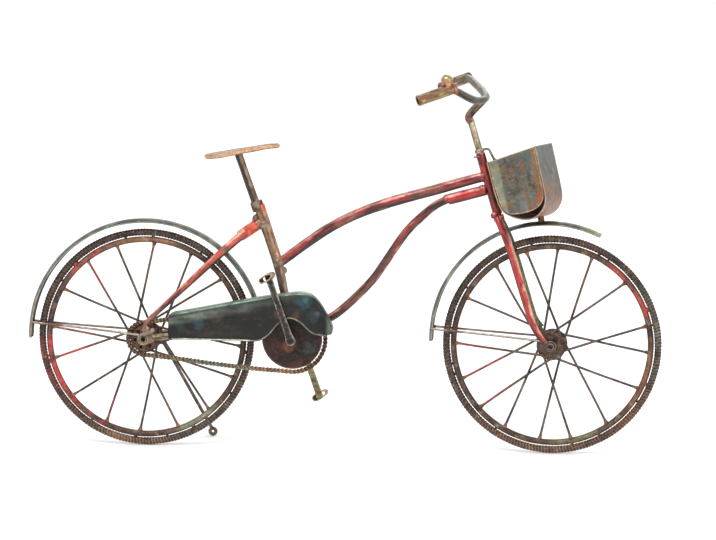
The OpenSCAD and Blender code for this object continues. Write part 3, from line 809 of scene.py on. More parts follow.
def rim_paint(front):
    def f(q, N):
        x0 = FX if front else RX
        p = Paint(q, N, C(78, 60, 49), 0.5, 0.5, 0.2)
        a = np.degrees(np.arctan2(q.V[:, 2] - WZ, q.V[:, 0] - x0))
        p.patches(C(58, 44, 36), 9, 5 + front, 0.46)
        p.patches(C(116, 86, 66), 6, 15 + front, 0.18)
        p.patches(C(128, 116, 98), 4, 25 + front, 0.16)
        if front:
            p.coat(C(176, 62, 52), sm(26, 10, np.abs(a - 36)) * sm(-0.8, 0.2, fbm(q.V, 5, 51)) * 0.9, rough=0.38)
            p.coat(C(150, 96, 62), sm(30, 10, np.abs(a + 20)) * 0.5)
            p.coat(C(128, 122, 84), sm(20, 8, np.abs(a + 75)) * 0.6)
            p.coat(C(122, 112, 82), sm(12, 5, np.abs(a - 202)) * 0.6)
        else:
            p.coat(C(196, 92, 84), sm(18, 7, np.abs(a - 128)) * sm(-0.8, 0.3, fbm(q.V, 5, 52)) * 0.7, rough=0.38)
            p.coat(C(178, 66, 60), sm(30, 12, np.abs(a + 164)) * sm(-0.9, 0.1, fbm(q.V, 5, 53)) * 0.95, rough=0.36)
            p.coat(C(166, 52, 50), sm(36, 14, np.abs(a + 136)) * sm(-0.3, 0.5, fbm(q.V, 5, 54)) * 0.8, rough=0.36)
            p.coat(C(132, 134, 112), sm(18, 8, np.abs(a + 58)) * 0.75)
            p.coat(C(166, 118, 82), sm(30, 10, np.abs(a - 92)) * 0.45)
        # painted shade: darker on the rod's inner and outer sides, along the spokes and the tyre
        p.coat(C(34, 26, 23), 0.4 * sm(0.35, 0.85, np.abs((np.hypot(q.V[:, 0] - x0, q.V[:, 2] - WZ) - RIM_C) / 2.0)), rough=0.6)
        return p
    return f


def spokes_piece(x, ends, sides, seed):
    rods, cones = [], []
    for i, a0 in enumerate(ends):
        way = -1 if i % 2 == 0 else 1
        a, b = math.radians(a0), math.radians(a0 + way * 48)
        y = sides[i] * (6.5 + way * (0.5 + 0.85 - 0.2))
        p = np.array([x + 8.8 * math.cos(b), y, WZ + 8.8 * math.sin(b)])
        q = np.array([x + (RIM_IN + 0.9) * math.cos(a), sides[i] * 0.9, WZ + (RIM_IN + 0.9) * math.sin(a)])
        t = np.linspace(0, 1, 9)
        d = unit(q - p)
        side = unit(np.cross(d, [0, 1, 0]))
        bow = 0.28 * math.sin(seed * 5.1 + i * 2.3)
        wob = 0.10 * np.sin(t * 9 + i)
        line = p + (q - p) * t[:, None] + side * ((bow * 4 * t * (1 - t) + wob * t * (1 - t) * 2)[:, None])
        rods.append(tube(np.column_stack([line, np.full(9, 0.83)]), n=12, step=2.2, up=(0.1, 1, 0.1), rough=0.05, seed=seed + i, bevel=0.15))
        e = unit(np.array([x + RIM_IN * math.cos(a), sides[i] * 0.9, WZ + RIM_IN * math.sin(a)]) - p)
        root = q - e * 0.5
        cones.append(cone(root, root - e * (2.9 + 1.2 * (0.5 + 0.5 * math.sin(i * 3.3 + seed))), 1.75 + 0.25 * math.sin(i * 1.7 + seed), 0.9, seed * 7 + i))
        cones.append(blob(p + unit(q - p) * 0.3, (1.15, 1.15, 1.5), seed * 11 + i, n=10, d=q - p))
    return join(*rods), join(*cones)


def spoke_paint(front):
    def f(q, N):
        p = Paint(q, N, C(92, 82, 74), 0.75, 0.42, 0.2)
        p.patches(C(62, 54, 48), 16, 61, 0.45)
        p.patches(C(122, 84, 60), 7, 62, 0.2)
        p.patches(C(150, 142, 128), 3.5, 63, 0.10, amount=0.7)
        if front:
            p.spot(C(168, 76, 66), 88, 52, 26, 3, 0.6)
            p.spot(C(116, 122, 96), 74, 60, 9, 4, 0.6)
        else:
            p.spot(C(176, 70, 66), -192, 62, 18, 3, 0.85)
            p.spot(C(170, 74, 70), -180, 118, 15, 4, 0.7)
            p.spot(C(150, 60, 60), -158, 22, 14, 5, 0.5)
        return p
    return f


def solder_paint(base, seed=0, rust=0.3, metal=0.7, alt=None):
    def f(q, N):
        p = Paint(q, N, base, metal, 0.42, rust)
        p.patches(mix(base, DARK, 0.6)[0], 2.4, 71 + seed, 0.4)
        p.patches(mix(base, RUST, 0.6)[0] if alt is None else alt, 3.4, 72 + seed, 0.3)
        p.patches(mix(base, PALE, 0.5)[0], 1.5, 73 + seed, 0.12)
        return p
    return f


def hub_piece(x, y0, y1):
    P = [(2.35, y0), (3.6, y0), (3.9, y0 + 0.3), (4.0, y0 + 0.8)]
    P += [(4.0, -7.05), (5.5, -7.1), (7.0, -7.1), (8.4, -7.08), (9.5, -7.0), (9.85, -6.85), (10.0, -6.6), (9.9, -6.25), (9.6, -6.05), (8.0, -6.0), (6.0, -6.0), (4.4, -5.9), (4.0, -5.4)]
    P += [(4.0, -3), (3.95, -1), (3.95, 1), (4.0, 3)]
    P += [(4.0, 5.4), (4.4, 5.9), (6.0, 6.0), (8.0, 6.0), (9.6, 6.05), (9.9, 6.25), (10.0, 6.6), (9.85, 6.85), (9.5, 7.0), (8.4, 7.0), (7.0, 7.0), (5.5, 7.0), (4.0, 7.0)]
    P += [(4.0, y1 - 0.3), (3.7, y1), (2.35, y1), (2.35, 3), (2.35, -3)]
    return lathe(P, x, WZ, 80)


def hub_paint(q, N):
    p = Paint(q, N, C(74, 64, 56), 0.6, 0.48, 0.3)
    p.patches(C(44, 36, 31), 5, 81, 0.45)
    p.patches(C(116, 92, 72), 3, 82, 0.22)
    p.patches(C(124, 118, 108), 2, 83, 0.12)
    return p


def washer(x, z, y0, y1, ro, ri, b=0.3, n=48):
    return lathe(ring_profile(ri, ro, y0, y1, b), x, z, n)


for tag, x, ends, sides, dots, sd in (
        ("front", FX, FRONT_ENDS, FRONT_SIDES, [(174, 1.5), (21, 1.6), (198, 1.1), (-62, 1.2), (63, 1.1), (-22, 1.3)], 2),
        ("rear", RX, REAR_ENDS, REAR_SIDES, [(134.8, 2.2), (86, 1.2), (-8, 1.2), (-62, 1.4), (-96, 1.3), (-165, 1.5), (52, 1.2)], 5)):
    body, front = tag + "_wheel", tag == "front"
    make(tag + "_knurled_tyre", tyre_piece(x, sd), body, [tag + "_tyre"], knurl_metal(), tyre_paint(front), 60)
    make(tag + "_rim_rod", rim_piece(x, sd, dots), body, [tag + "_rim"], rust_metal(), rim_paint(front))
    wires, lumps = spokes_piece(x, ends, sides, sd)
    make(tag + "_wire_spokes", wires, body, [tag + "_spokes"], bare_metal(), spoke_paint(front))
    make(tag + "_spoke_solder", lumps, body, [], rust_metal(), solder_paint(C(112, 88, 68), sd, alt=C(150, 92, 60)))
    make(tag + "_hub_turned", hub_piece(x, -7.4 if front else -10, 7.4), body, [tag + "_hub"], rust_metal(), hub_paint)


def axle_piece(x, half):
    P = [(1.5, -half), (2.0, -half - 0.0), (2.25, -half + 0.15), (2.3, -half + 0.5), (2.3, -9), (2.3, 0), (2.3, 9), (2.3, half - 0.5), (2.25, half - 0.15), (2.0, half), (1.5, half), (1.45, half - 0.6), (1.5, half - 1.4), (1.5, 8), (1.5, 0), (1.5, -8), (1.5, -half + 1.4), (1.45, -half + 0.6)]
    return lathe(P, x, WZ, 48)


def axle_paint(q, N):
    p = Paint(q, N, C(128, 120, 110), 0.85, 0.34, 0.1)
    p.patches(C(88, 74, 62), 2.2, 91, 0.4)
    r = np.minimum(np.hypot(q.V[:, 0] - FX, q.V[:, 2] - WZ), np.hypot(q.V[:, 0] - RX, q.V[:, 2] - WZ))
    # painted shade: dark inside the hollow axle's bore
    p.coat(C(24, 20, 18), sm(1.75, 1.5, r) * 0.9, metal=0.2, rough=0.7)
    return p


make("front_axle_tube", axle_piece(FX, 13.6), "steering", ["front_axle"], bare_metal(), axle_paint)
make("rear_axle_tube", axle_piece(RX, 15.6), "frame", ["rear_axle"], bare_metal(), axle_paint)


def sprocket_paint(q, N):
    p = Paint(q, N, C(58, 50, 44), 0.6, 0.5, 0.35)
    p.patches(C(110, 78, 54), 3, 101, 0.35)
    return p


def flat_disc(x, z, y0, y1, ro, ri, holes=(), h=0.9, b=0.25):
    """A disc across the bicycle with holes (x, z, r) in it; its outer face is the right one."""
    def ringpts(cx, cz, r, n):
        a = np.arange(n) * 2 * math.pi / n
        return np.stack([cx + r * np.cos(a), cz + r * np.sin(a)], 1)
    out = ringpts(x, z, ro, 72)
    hs = ([ringpts(x, z, ri, 28)] if ri else []) + [ringpts(a, c, r, 20) for a, c, r in holes]
    return cut_sheet(out, y1 - y0, lambda v: np.column_stack([v[:, 0], y0 - v[:, 2], v[:, 1]]), h, hs, b)


make("sprocket_disc", flat_disc(RX, WZ, -11.2, -9.8, 8.9, 3.6, [(RX + 6.2 * math.cos(math.radians(a)), WZ + 6.2 * math.sin(math.radians(a)), 1.0) for a in range(10, 360, 60)]),
     "rear_wheel", ["sprocket"], rust_metal(), sprocket_paint)


# ---------------------------------------------------------------- chain
def arc(cx, cz, r, a0, a1, step):
    a = np.radians(np.arange(a0, a1 + 1e-6, step))
    return np.stack([cx + r * np.cos(a), cz + r * np.sin(a)], 1)


line = np.vstack([arc(RX, WZ, 11, 98, 263, 3), [[-116, 60.9], [-93, 58.0], [-73, 55.9], [-58, 54.6]], arc(BBX, BBZ, 22.6, -102, 97, 3)])
line = np.vstack([line, line[:1]])
line, _ = resample(np.column_stack([line, np.zeros(len(line))]), 0.4)
line = line[:-1, :2]
for _ in range(14):
    line = (np.roll(line, 1, 0) + 2 * line + np.roll(line, -1, 0)) / 4
seg = np.linalg.norm(np.roll(line, -1, 0) - line, axis=1)
s_ch = np.r_[0, np.cumsum(seg)][:-1]
turns = round(seg.sum() / 5.2)
mid = np.stack([line[:, 0], np.full(len(line), -10.5), line[:, 1]], 1)
tt, uu, vv = frames(mid, (0, 1, 0), closed=True)
strands = []
for k in range(2):
    ph = 2 * math.pi * turns * s_ch / seg.sum() + math.pi * k
    ph = ph + 0.25 * np.sin(s_ch * 0.21 + k)
    cc = mid + 0.84 * (np.cos(ph)[:, None] * uu + np.sin(ph)[:, None] * vv)
    strands.append(closed_tube(cc, 10, 0.90, (0, 1, 0), lambda s, th: 0.05 * np.sin(s * 1.3) + 0 * th))
rope = join(*strands)


def chain_paint(q, N):
    p = Paint(q, N, C(132, 112, 82), 0.7, 0.42, 0.3)
    p.patches(C(92, 80, 60), 6, 111, 0.4)
    t = sm(-78, -52, q.V[:, 0])
    p.coat(C(164, 108, 74), t * sm(-0.9, 0.6, fbm(q.V, 5, 112)) * 0.8)
    p.coat(C(112, 122, 108), sm(-118, -104, q.V[:, 0]) * sm(-74, -86, q.V[:, 0]) * sm(-0.3, 0.6, fbm(q.V, 6, 113)) * 0.75)
    p.coat(C(40, 32, 27), sm(-40, -22, q.V[:, 0]) * 0.85)
    p.coat(C(92, 108, 98), sm(66, 58, q.V[:, 2]) * sm(-30, -44, q.V[:, 0]) * sm(-0.5, 0.5, fbm(q.V, 6, 115)) * 0.6)
    p.coat(C(70, 60, 48), sm(-128, -140, q.V[:, 0]) * 0.8)
    p.patches(C(178, 150, 112), 2.2, 114, 0.12, amount=0.6)
    d = np.linalg.norm(q.V - 0, axis=1) * 0
    return p


make("twisted_chain", rope, "frame", ["chain"], rope_metal(), chain_paint, 70)

# ---------------------------------------------------------------- cranks
CA = math.radians(19.5)
ring_holes = []
ring_disc = flat_disc(BBX, BBZ, -11.1, -9.9, 20.5, 2.5, ring_holes, 0.9)
boss = lathe(disc_profile(4.8, -12.6, -11.0, 0.4), BBX, BBZ, 48)


def ring_paint(q, N):
    p = Paint(q, N, C(32, 25, 22), 0.45, 0.52, 0.4)
    p.patches(C(20, 18, 17), 9, 121, 0.45)
    p.patches(C(78, 50, 36), 4, 122, 0.14, amount=0.6, rust=0.5)
    p.spot(C(124, 74, 48), BBX - 2, BBZ - 5, 4.6, 1, 0.6, ragged=1.2, rust=0.7, rough=0.6)
    p.spot(C(40, 66, 70), BBX + 12, BBZ - 6, 4.6, 2, 0.5, ragged=1.1, rough=0.35)
    p.spot(C(62, 36, 29), BBX - 13, BBZ - 5, 8, 3, 0.5, ragged=1.2)
    p.spot(C(84, 52, 38), BBX + 4, BBZ - 17, 5, 4, 0.45, ragged=1.2)
    p.edges(C(150, 112, 84), 0.7, 5, 0.5, metal=0.8, rough=0.35)
    return p


make("chainring_disc", join(ring_disc, boss), "crankset", ["chainring"], surface("black_ring", grain=220, mottle=0.34, pits=0.3, rust_col=C(96, 54, 34), dark_col=C(14, 13, 12), speck=0.3, coat=0.1, spec=0.35), ring_paint)


def crank_outline(s):
    d = np.array([-math.sin(CA), math.cos(CA)]) * (1 if s < 0 else -1)
    n = np.array([d[1], -d[0]])
    o = np.array([BBX, BBZ])
    pts = []
    for a in np.linspace(200, 340, 15):
        pts.append(o + 3.6 * (math.cos(math.radians(a)) * n + math.sin(math.radians(a)) * d))
    w = [(4.5, 2.45), (12, 2.2), (24, 2.15), (36, 2.2), (42, 2.3)]
    pts += [o + a * d + b * n for a, b in w]
    for a in np.linspace(0, 180, 13):
        pts.append(o + 45.5 * d + 2.35 * (math.cos(math.radians(a)) * n + math.sin(math.radians(a)) * d))
    pts += [o + a * d - b * n for a, b in w[::-1]]
    return np.array(pts)


def crank_paint(dark):
    def f(q, N):
        p = Paint(q, N, C(62, 58, 54) if dark else C(126, 118, 82), 0.8, 0.38, 0.15)
        p.streaks(C(36, 33, 31) if dark else C(84, 74, 54), 2.2, 131, 0.45)
        p.streaks(C(104, 104, 98) if dark else C(160, 150, 108), 1.6, 132, 0.18, amount=0.6)
        p.patches(C(116, 76, 50), 3, 133, 0.16)
        p.edges(C(176, 172, 162) if dark else C(176, 164, 122), 0.55, 4, 0.8, metal=0.95, rough=0.28)
        return p
    return f


for s, tag in ((-1, "right"), (1, "left")):
    y_out = -20.9 if s < 0 else 20.9
    arm = cut_sheet(crank_outline(s), 1.8, lambda v, y=y_out, k=s: np.column_stack([v[:, 0], y - k * v[:, 2] * -1 * 1 if False else y + (-v[:, 2] if k < 0 else v[:, 2]), v[:, 1]]), 0.9, bevel=0.4)
    px, pz = BBX + s * 45.5 * math.sin(CA), BBZ - s * 45.5 * math.cos(CA)
    nut = lathe(disc_profile(2.5, y_out - 0.75 if s < 0 else y_out - 0.1, y_out + 0.1 if s < 0 else y_out + 0.75, 0.35), BBX, BBZ, 6)
    stub = lathe(disc_profile(1.3, y_out - 0.9 if s < 0 else y_out, y_out if s < 0 else y_out + 0.9, 0.3), px, pz, 24)
    make(tag + "_crank_bar", join(arm, nut, stub), "crankset", [tag + "_crank"], bare_metal() if s < 0 else brass_metal(), crank_paint(s < 0))
make("crank_spindle", rod([BBX, -21.55, BBZ], [BBX, 21.55, BBZ], 2.45, 32, up=(1, 0, 0), bevel=0.5), "crankset", ["crank_axle"], bare_metal(), solder_paint(C(132, 122, 110), 4))


def pedal_piece(s):
    """Flattened tube, open at both ends, its wall a little crushed."""
    n_l, n_r = 16, 64
    a = np.arange(n_r) * 2 * math.pi / n_r
    ex, ez = 5.2, 2.4
    sx = np.sign(np.cos(a)) * np.abs(np.cos(a)) ** 0.72 * ex
    sz = np.sign(np.sin(a)) * np.abs(np.sin(a)) ** 0.95 * ez
    sz = sz * (1 - 0.10 * np.cos(a))
    px, pz = BBX + s * 45.5 * math.sin(CA), BBZ - s * 45.5 * math.cos(CA)
    L = np.linspace(0, 1, n_l)
    G = np.zeros((n_r, n_l, 3))
    for j, l in enumerate(L):
        k = 1 + 0.05 * math.sin(3 * l + s) - 0.05 * l
        x, z = sx * k, sz * (1 + 0.10 * math.sin(5 * l + 1))
        c, d = math.cos(math.radians(33)), math.sin(math.radians(33))
        X, Z = x * c - z * d, x * d + z * c
        y = (-20.9 - 10.4 * l) if s < 0 else (20.9 + 10.4 * l)
        tw = 1.1 * (l - 0.5) * s
        G[:, j] = np.stack([px + X + tw * 1.0, np.full(n_r, y), pz + Z], 1)
    if s > 0:
        G = G[::-1]
    du = np.roll(G, -1, 0) - np.roll(G, 1, 0)
    N = np.cross(du, np.gradient(G, axis=1))
    out = G - np.array([px, 0, pz])
    if (N * out)[..., [0, 2]].sum() < 0:
        G = G[::-1]
    A = np.repeat(np.arange(n_r)[:, None] * 0.4, n_l, 1)
    B = np.repeat((L * 10.4)[None, :], n_r, 0)
    return grid_solid(G, 0.85, edge=np.minimum(B, 10.4 - B), closed=True, st=np.stack([B, A, 0 * A], 2))


def pedal_paint(q, N):
    p = Paint(q, N, C(150, 122, 96), 0.6, 0.45, 0.35)
    p.patches(C(118, 82, 58), 3.4, 141, 0.42)
    p.patches(C(196, 166, 132), 2, 142, 0.2)
    p.patches(C(70, 48, 38), 2.5, 143, 0.2)
    # painted shade: dark inside the flattened tube
    p.coat(C(30, 22, 18), sm(-0.3, -0.8, q.st[:, 2]) * 0.85, metal=0.2, rough=0.75)
    p.edges(C(200, 178, 146), 0.5, 4, 0.6, rough=0.35)
    return p


for s, tag in ((-1, "right"), (1, "left")):
    make(tag + "_pedal_sleeve", pedal_piece(s), "crankset", [tag + "_pedal"], rust_metal(), pedal_paint)

# ---------------------------------------------------------------- frame tubes
top_path = [[-50, 0, 124, 3.0], [-43, 0, 129, 3.3], [-29, 0, 139.5, 3.4], [-12, 0, 151, 3.4], [5, 0, 159.8, 3.4],
            [22, 0, 166.4, 3.6], [39, 0, 171.8, 3.6], [56, 0, 176.6, 3.6], [72.5, 0, 181.6, 3.6], [90, 0, 186.6, 3.4]]
down_path = [[71, 0, 172.6, 2.7], [59.2, 0, 167.2, 2.8], [48, 0, 157.8, 2.9], [39, 0, 148.5, 2.9], [31, 0, 137.2, 2.9],
             [24.3, 0, 127, 2.9], [17, 0, 116.5, 2.9], [5.5, 0, 104.2, 2.9], [-5.7, 0, 94, 2.9], [-15, 0, 87.8, 2.8], [-34, 0, 77.4, 2.7]]
seat_path = [[-61.2, 0, 165, 3.7], [-56, 0, 149.5, 3.7], [-48.5, 0, 126.5, 3.5], [-43.6, 0, 105, 2.9], [-38, 0, 79, 2.8]]
right_stay = [[-70, -3.2, 146.8, 3.0], [-76, -5.6, 141.8, 2.9], [-86, -8.4, 132.8, 2.7], [-104, -10.8, 115.8, 2.2], [-122, -12.9, 98.8, 1.8], [-135.4, -13.9, 86, 1.5], [-137.6, -13.9, 79, 1.5]]
right_chain_path = [[-40, -3.6, 75.8, 1.8], [-52, -5.6, 76, 1.8], [-70, -8.4, 76.2, 1.8], [-92, -11.8, 76.4, 1.8], [-110, -14.1, 76.4, 1.8], [-132, -14.2, 75.4, 1.9]]
left_chain_path = [[-40, 3.6, 75.8, 1.8], [-52, 5.6, 76, 1.8], [-70, 8.2, 76.2, 1.7], [-92, 10.8, 76.4, 1.6], [-112, 12.8, 76.4, 1.6], [-132, 13.9, 75.4, 1.6]]
right_blade = [[100.6, -4.4, 159.5, 2.5], [104.2, -7.2, 152.8, 2.6], [110, -9, 138.6, 2.7], [118.2, -10, 112, 2.6], [125.8, -10.8, 88.6, 2.3], [131.8, -11.2, 79, 2], [135.6, -11.2, 75.8, 1.8]]
flip = lambda path: [[p[0], -p[1], p[2], p[3]] for p in path]
UP = (0.0, 0.0, 1.0)


def red_paint(seed, underside_shading=0.9, top_highlight=0.7, dark=0.3, base=RED):
    def f(q, N):
        p = Paint(q, N, base, 0.45, 0.36, 0.15)
        p.streaks(MAROON, 3.0, 151 + seed, 0.42)
        p.streaks(C(166, 64, 56), 2.6, 152 + seed, 0.28)
        # painted highlight: pink on the up-facing side, paler still on the very top
        p.facing(PINK, (0, -0.35, 1), 0.56, 0.92, seed, 0.3, 6, min(1.0, top_highlight + 0.12), rough=0.32)
        p.facing(C(232, 186, 176), (0, -0.35, 1), 0.80, 0.98, seed + 50, 0.4, 5, 0.5 * top_highlight, rough=0.3)
        # painted shade: dark grey on the down-facing side, with a paler painted reflection on the very bottom
        p.facing(C(38, 35, 31), (0, 0.15, -1), 0.0, 0.46, seed, 0.3, 6, min(1.0, underside_shading + 0.1), metal=0.5, rough=0.5)
        p.facing(C(98, 90, 78), (0, 0.1, -1), 0.84, 1.0, seed, 0.3, 5, 0.35 * underside_shading)
        p.streaks(C(40, 32, 29), 2.4, 153 + seed, dark + 0.06, amount=0.85, metal=0.6)
        p.streaks(C(168, 132, 104), 1.6, 154 + seed, 0.10, amount=0.7, metal=0.8)
        return p
    return f


def top_paint(q, N):
    p = red_paint(1, 0.95, 0.75, 0.22)(q, N)
    x = q.V[:, 0]
    p.coat(C(176, 140, 112), sm(-44, -50, x) * 0.7)
    p.spot(C(92, 66, 50), 52, 178, 12, 5, 0.55, ragged=1.1)
    p.spot(C(120, 92, 74), -2, 158, 9, 6, 0.4, ragged=1.1)
    return p


def down_paint(q, N):
    p = red_paint(2, 1.0, 0.85, 0.46)(q, N)
    x, z = q.V[:, 0], q.V[:, 2]
    p.coat(C(78, 62, 52), sm(6, 22, x) * sm(62, 46, x) * sm(-0.5, 0.5, fbm(q.st / np.array([5, 1, 1]), 3, 161)) * 0.75, metal=0.6)
    p.coat(C(110, 78, 58), sm(24, 8, x) * sm(-22, -6, x) * sm(-0.2, 0.7, fbm(q.st / np.array([5, 1, 1]), 3, 162)) * 0.6)
    # painted highlight: pale pink on the side facing forward, right and a little down
    p.facing(C(216, 150, 136), (0.8, -0.3, -0.2), 0.75, 0.98, 3, 0.3, 5, 0.5)
    return p


def seat_paint(q, N):
    p = Paint(q, N, C(136, 104, 76), 0.6, 0.42, 0.3)
    z = q.V[:, 2]
    p.streaks(C(98, 70, 52), 3, 171, 0.42)
    p.streaks(C(172, 134, 100), 2.4, 172, 0.24)
    p.facing(C(196, 92, 64), (1, -0.25, 0), 0.55, 0.85, 2, 0.35, 7, 0.9)
    p.coat(C(70, 58, 50), sm(134, 118, z) * 0.85, metal=0.65)
    # painted shade: dark brown on the rear-facing side
    p.coat(C(58, 44, 38), sm(0.1, 0.8, -N[:, 0]) * 0.6)
    # painted highlight: pale on the side facing forward and right
    p.facing(C(170, 156, 136), (0.75, -0.6, 0), 0.82, 0.99, 5, 0.2, 5, 0.6)
    p.streaks(C(46, 38, 34), 2.2, 173, 0.22, amount=0.8)
    return p


make("top_tube_worn", tube(smooth(top_path, 8), 36, 0.9, rough=0.09, seed=11), "frame", ["top_tube"], red_metal(), top_paint)
make("down_tube_worn", tube(smooth(down_path, 8), 34, 0.9, rough=0.09, seed=12), "frame", ["down_tube"], red_metal(), down_paint)
make("seat_tube_worn", tube(smooth(seat_path, 8), 34, 0.9, rough=0.12, seed=13), "frame", ["seat_tube"], red_metal(), seat_paint)


def pipe(a, b, ro, ri, n=40, step=0.8, rough=0.05, seed=1, lip=0.0):
    """An open tube from a to b."""
    a, b = np.asarray(a, float), np.asarray(b, float)
    d = unit(b - a)
    L = np.linalg.norm(b - a)
    k = max(4, int(L / step))
    up = (0, 1, 0) if abs(d[1]) < 0.9 else (1, 0, 0)
    u = unit(np.cross(up, d))
    v = np.cross(d, u)
    th = np.arange(n) * 2 * math.pi / n
    s = np.linspace(0, L, k + 1)
    G = np.zeros((n, k + 1, 3))
    for j, q in enumerate(s):
        r = ro * (1 + 0.0 * q)
        e = min(q, L - q)
        r = r - 0.18 * (1 - min(e / 0.3, 1)) + lip * math.exp(-e / 0.8)
        G[:, j] = a + d * q + r * (np.cos(th)[:, None] * u + np.sin(th)[:, None] * v)
    f = rough * fbm(G.reshape(-1, 3), 7, seed).reshape(n, k + 1)
    G = G + f[..., None] * (np.cos(th)[:, None] * u + np.sin(th)[:, None] * v)[:, None, :]
    out = np.cross(np.roll(G, -1, 0) - np.roll(G, 1, 0), np.gradient(G, axis=1))
    if (out * (G - (a + d * s[None, :, None]))).sum() < 0:
        G = G[::-1]
    A = np.repeat((th * ro)[:, None], k + 1, 1)
    B = np.repeat(s[None, :], n, 0)
    st = np.stack([B, ro * np.cos(A / ro), ro * np.sin(A / ro)], 2)
    return grid_solid(G, ro - ri, edge=np.minimum(B, L - B), closed=True, st=st)


def along(s):
    return HMID + SDIR * s


pin = rod([88.6, -2.6, 200.4], [84.6, -3.6, 200.0], 0.6, 12)
head = join(pipe(along(-21.5), along(21.5), 3.2, 2.38, rough=0.05, seed=3), pin)
make("head_tube_worn", head, "frame", ["head_tube"], red_metal(), red_paint(4, 0.3, 0.65, 0.26, C(150, 36, 36)))
make("down_tube_sleeve_worn", tube([[92.4, 0, 177.7, 3.7], [84, 0, 175.4, 3.75], [75, 0, 173, 3.8], [69, 0, 171.4, 3.75], [67, 0, 170.8, 3.6]], 32, 0.7, rough=0.10, seed=14, bevel=0.5), "frame", ["down_tube_sleeve"], red_metal(), red_paint(5, 0.5, 0.7, 0.22, C(166, 36, 38)))
# the seat post's pale band facing forward and to the right is a painted highlight
make("seat_post_rod", tube([[-75.9, 0, 201.2, 2.7], [-72, 0, 190.2, 2.65], [-68, 0, 179, 2.7], [-61.5, 0, 161.2, 2.7]], 28, 0.8, rough=0.07, seed=15), "frame", ["seat_post"], bare_metal(),
     lambda q, N: Paint(q, N, C(78, 66, 56), 0.7, 0.42, 0.2).streaks(C(50, 40, 34), 2.6, 181, 0.45).streaks(C(124, 96, 70), 2.2, 182, 0.25).facing(C(170, 146, 112), (0.6, -0.75, 0.1), 0.80, 0.99, 3, 0.2, 5, 0.6).spot(C(60, 42, 34), -66, 172, 5, 3, 0.7))
clamp = join(tube([[-63.4, 0, 167.7, 4.15], [-62.8, 0, 166, 4.3], [-62.2, 0, 163.6, 4.15], [-61.4, 0, 161, 4.1]], 32, 0.5, rough=0.22, seed=16, bevel=0.5),
             rod([-63.8, -3.3, 155.4], [-63.8, 3.3, 155.4], 1.75, 16, rough=0.1, bevel=0.4), blob([-63.0, -0.8, 155.9], (2.5, 2.9, 3.2), 41))
make("seat_clamp_brazed", clamp, "frame", ["seat_clamp"], rust_metal(),
     lambda q, N: Paint(q, N, C(104, 80, 62), 0.55, 0.46, 0.4).patches(C(66, 48, 38), 4, 191, 0.45).patches(C(150, 112, 80), 3, 192, 0.25).spot(C(134, 130, 120), -62.8, 165.8, 2.6, 2, 0.7))


def coral_paint(q, N):
    p = red_paint(6, 0.85, 0.6, 0.2, C(176, 68, 56))(q, N)
    x = q.V[:, 0]
    p.coat(C(192, 84, 64), sm(-112, -86, x) * 0.45 * (N[:, 2] > -0.35))
    # painted highlight: pale on the up-facing side
    p.facing(C(226, 170, 146), (-0.35, -0.45, 0.8), 0.86, 1.0, 7, 0.25, 6, 0.8, rough=0.3)
    p.spot(C(90, 76, 64), -82.5, 136.3, 2.4, 7, 0.85, ragged=0.9, metal=0.7)
    p.spot(C(120, 100, 82), -84, 134, 2, 8, 0.5, ragged=0.9)
    p.coat(C(150, 104, 88), sm(-120, -134, x) * 0.7)
    return p


def far_stay_paint(q, N):
    return Paint(q, N, C(62, 64, 56), 0.6, 0.42, 0.2).streaks(C(40, 38, 34), 3, 201, 0.45).streaks(C(96, 100, 84), 2.4, 202, 0.22).patches(C(112, 74, 50), 4, 203, 0.18)


sleeve = join(tube([[-59.6, 0, 153.8, 3.7], [-63, 0, 151.4, 3.95], [-67.5, 0, 148.2, 3.95], [-71.5, 0, 145.4, 3.9], [-74.4, 0, 143.4, 3.7]], 32, 0.5, rough=0.12, seed=17, bevel=0.5))


def sleeve_paint(q, N):
    p = Paint(q, N, C(206, 92, 62), 0.45, 0.38, 0.2)
    p.patches(C(176, 70, 50), 5, 211, 0.35)
    p.patches(C(224, 140, 108), 3.4, 212, 0.22)
    s = q.st[:, 0]
    L = s.max()
    p.coat(C(142, 128, 112), sm(3.0, 1.6, s + 0.5 * fbm(q.V, 2, 213)) * 0.85, metal=0.8)
    p.coat(C(146, 132, 116), sm(L - 2.6, L - 1.2, s + 0.5 * fbm(q.V, 2, 214)) * 0.85, metal=0.8)
    p.coat(C(104, 74, 58), sm(0.75, 0.2, np.abs(s - 3.2)) * 0.8)
    return p


make("seat_stay_sleeve_worn", sleeve, "frame", ["seat_stay_sleeve"], red_metal(), sleeve_paint)
make("right_seat_stay_worn", tube(smooth(right_stay, 8), 26, 0.8, rough=0.07, seed=18), "frame", ["right_seat_stay"], red_metal(), coral_paint)
make("left_seat_stay_worn", tube(smooth(flip(right_stay), 8), 26, 0.8, rough=0.07, seed=19), "frame", ["left_seat_stay"], bare_metal(), far_stay_paint)


def dropout(y0, y1):
    out = [[RX + 4.2 * math.cos(a), WZ + 4.2 * math.sin(a)] for a in np.radians(np.arange(95, 300, 12))]
    out += [[RX + 3.4, WZ - 3.2], [RX + 7, WZ - 1.9], [RX + 7.3, WZ + 4], [RX + 2.2, WZ + 7], [RX - 1.6, WZ + 6.6]]
    hole = [[RX + 2.3 * math.cos(a), WZ + 2.3 * math.sin(a)] for a in np.radians(np.arange(0, 360, 15))]
    right = y0 < 0
    return cut_sheet(out, y1 - y0, lambda v: np.column_stack([v[:, 0], (y0 - v[:, 2]) if right else (y1 + v[:, 2]), v[:, 1]]), 0.8, [hole], 0.35)


def stay_paint(q, N):
    p = Paint(q, N, C(122, 108, 90), 0.8, 0.38, 0.25)
    p.streaks(C(78, 62, 50), 2.2, 221, 0.42)
    p.patches(C(168, 100, 58), 2.6, 222, 0.22, rust=0.8)
    # painted highlight: pale on the up-facing side
    p.facing(C(196, 184, 158), (0, -0.4, 1), 0.8, 1.0, 2, 0.2, 4, 0.6)
    p.edges(C(176, 160, 136), 0.6, 3, 0.6, metal=0.9, rough=0.3)
    return p


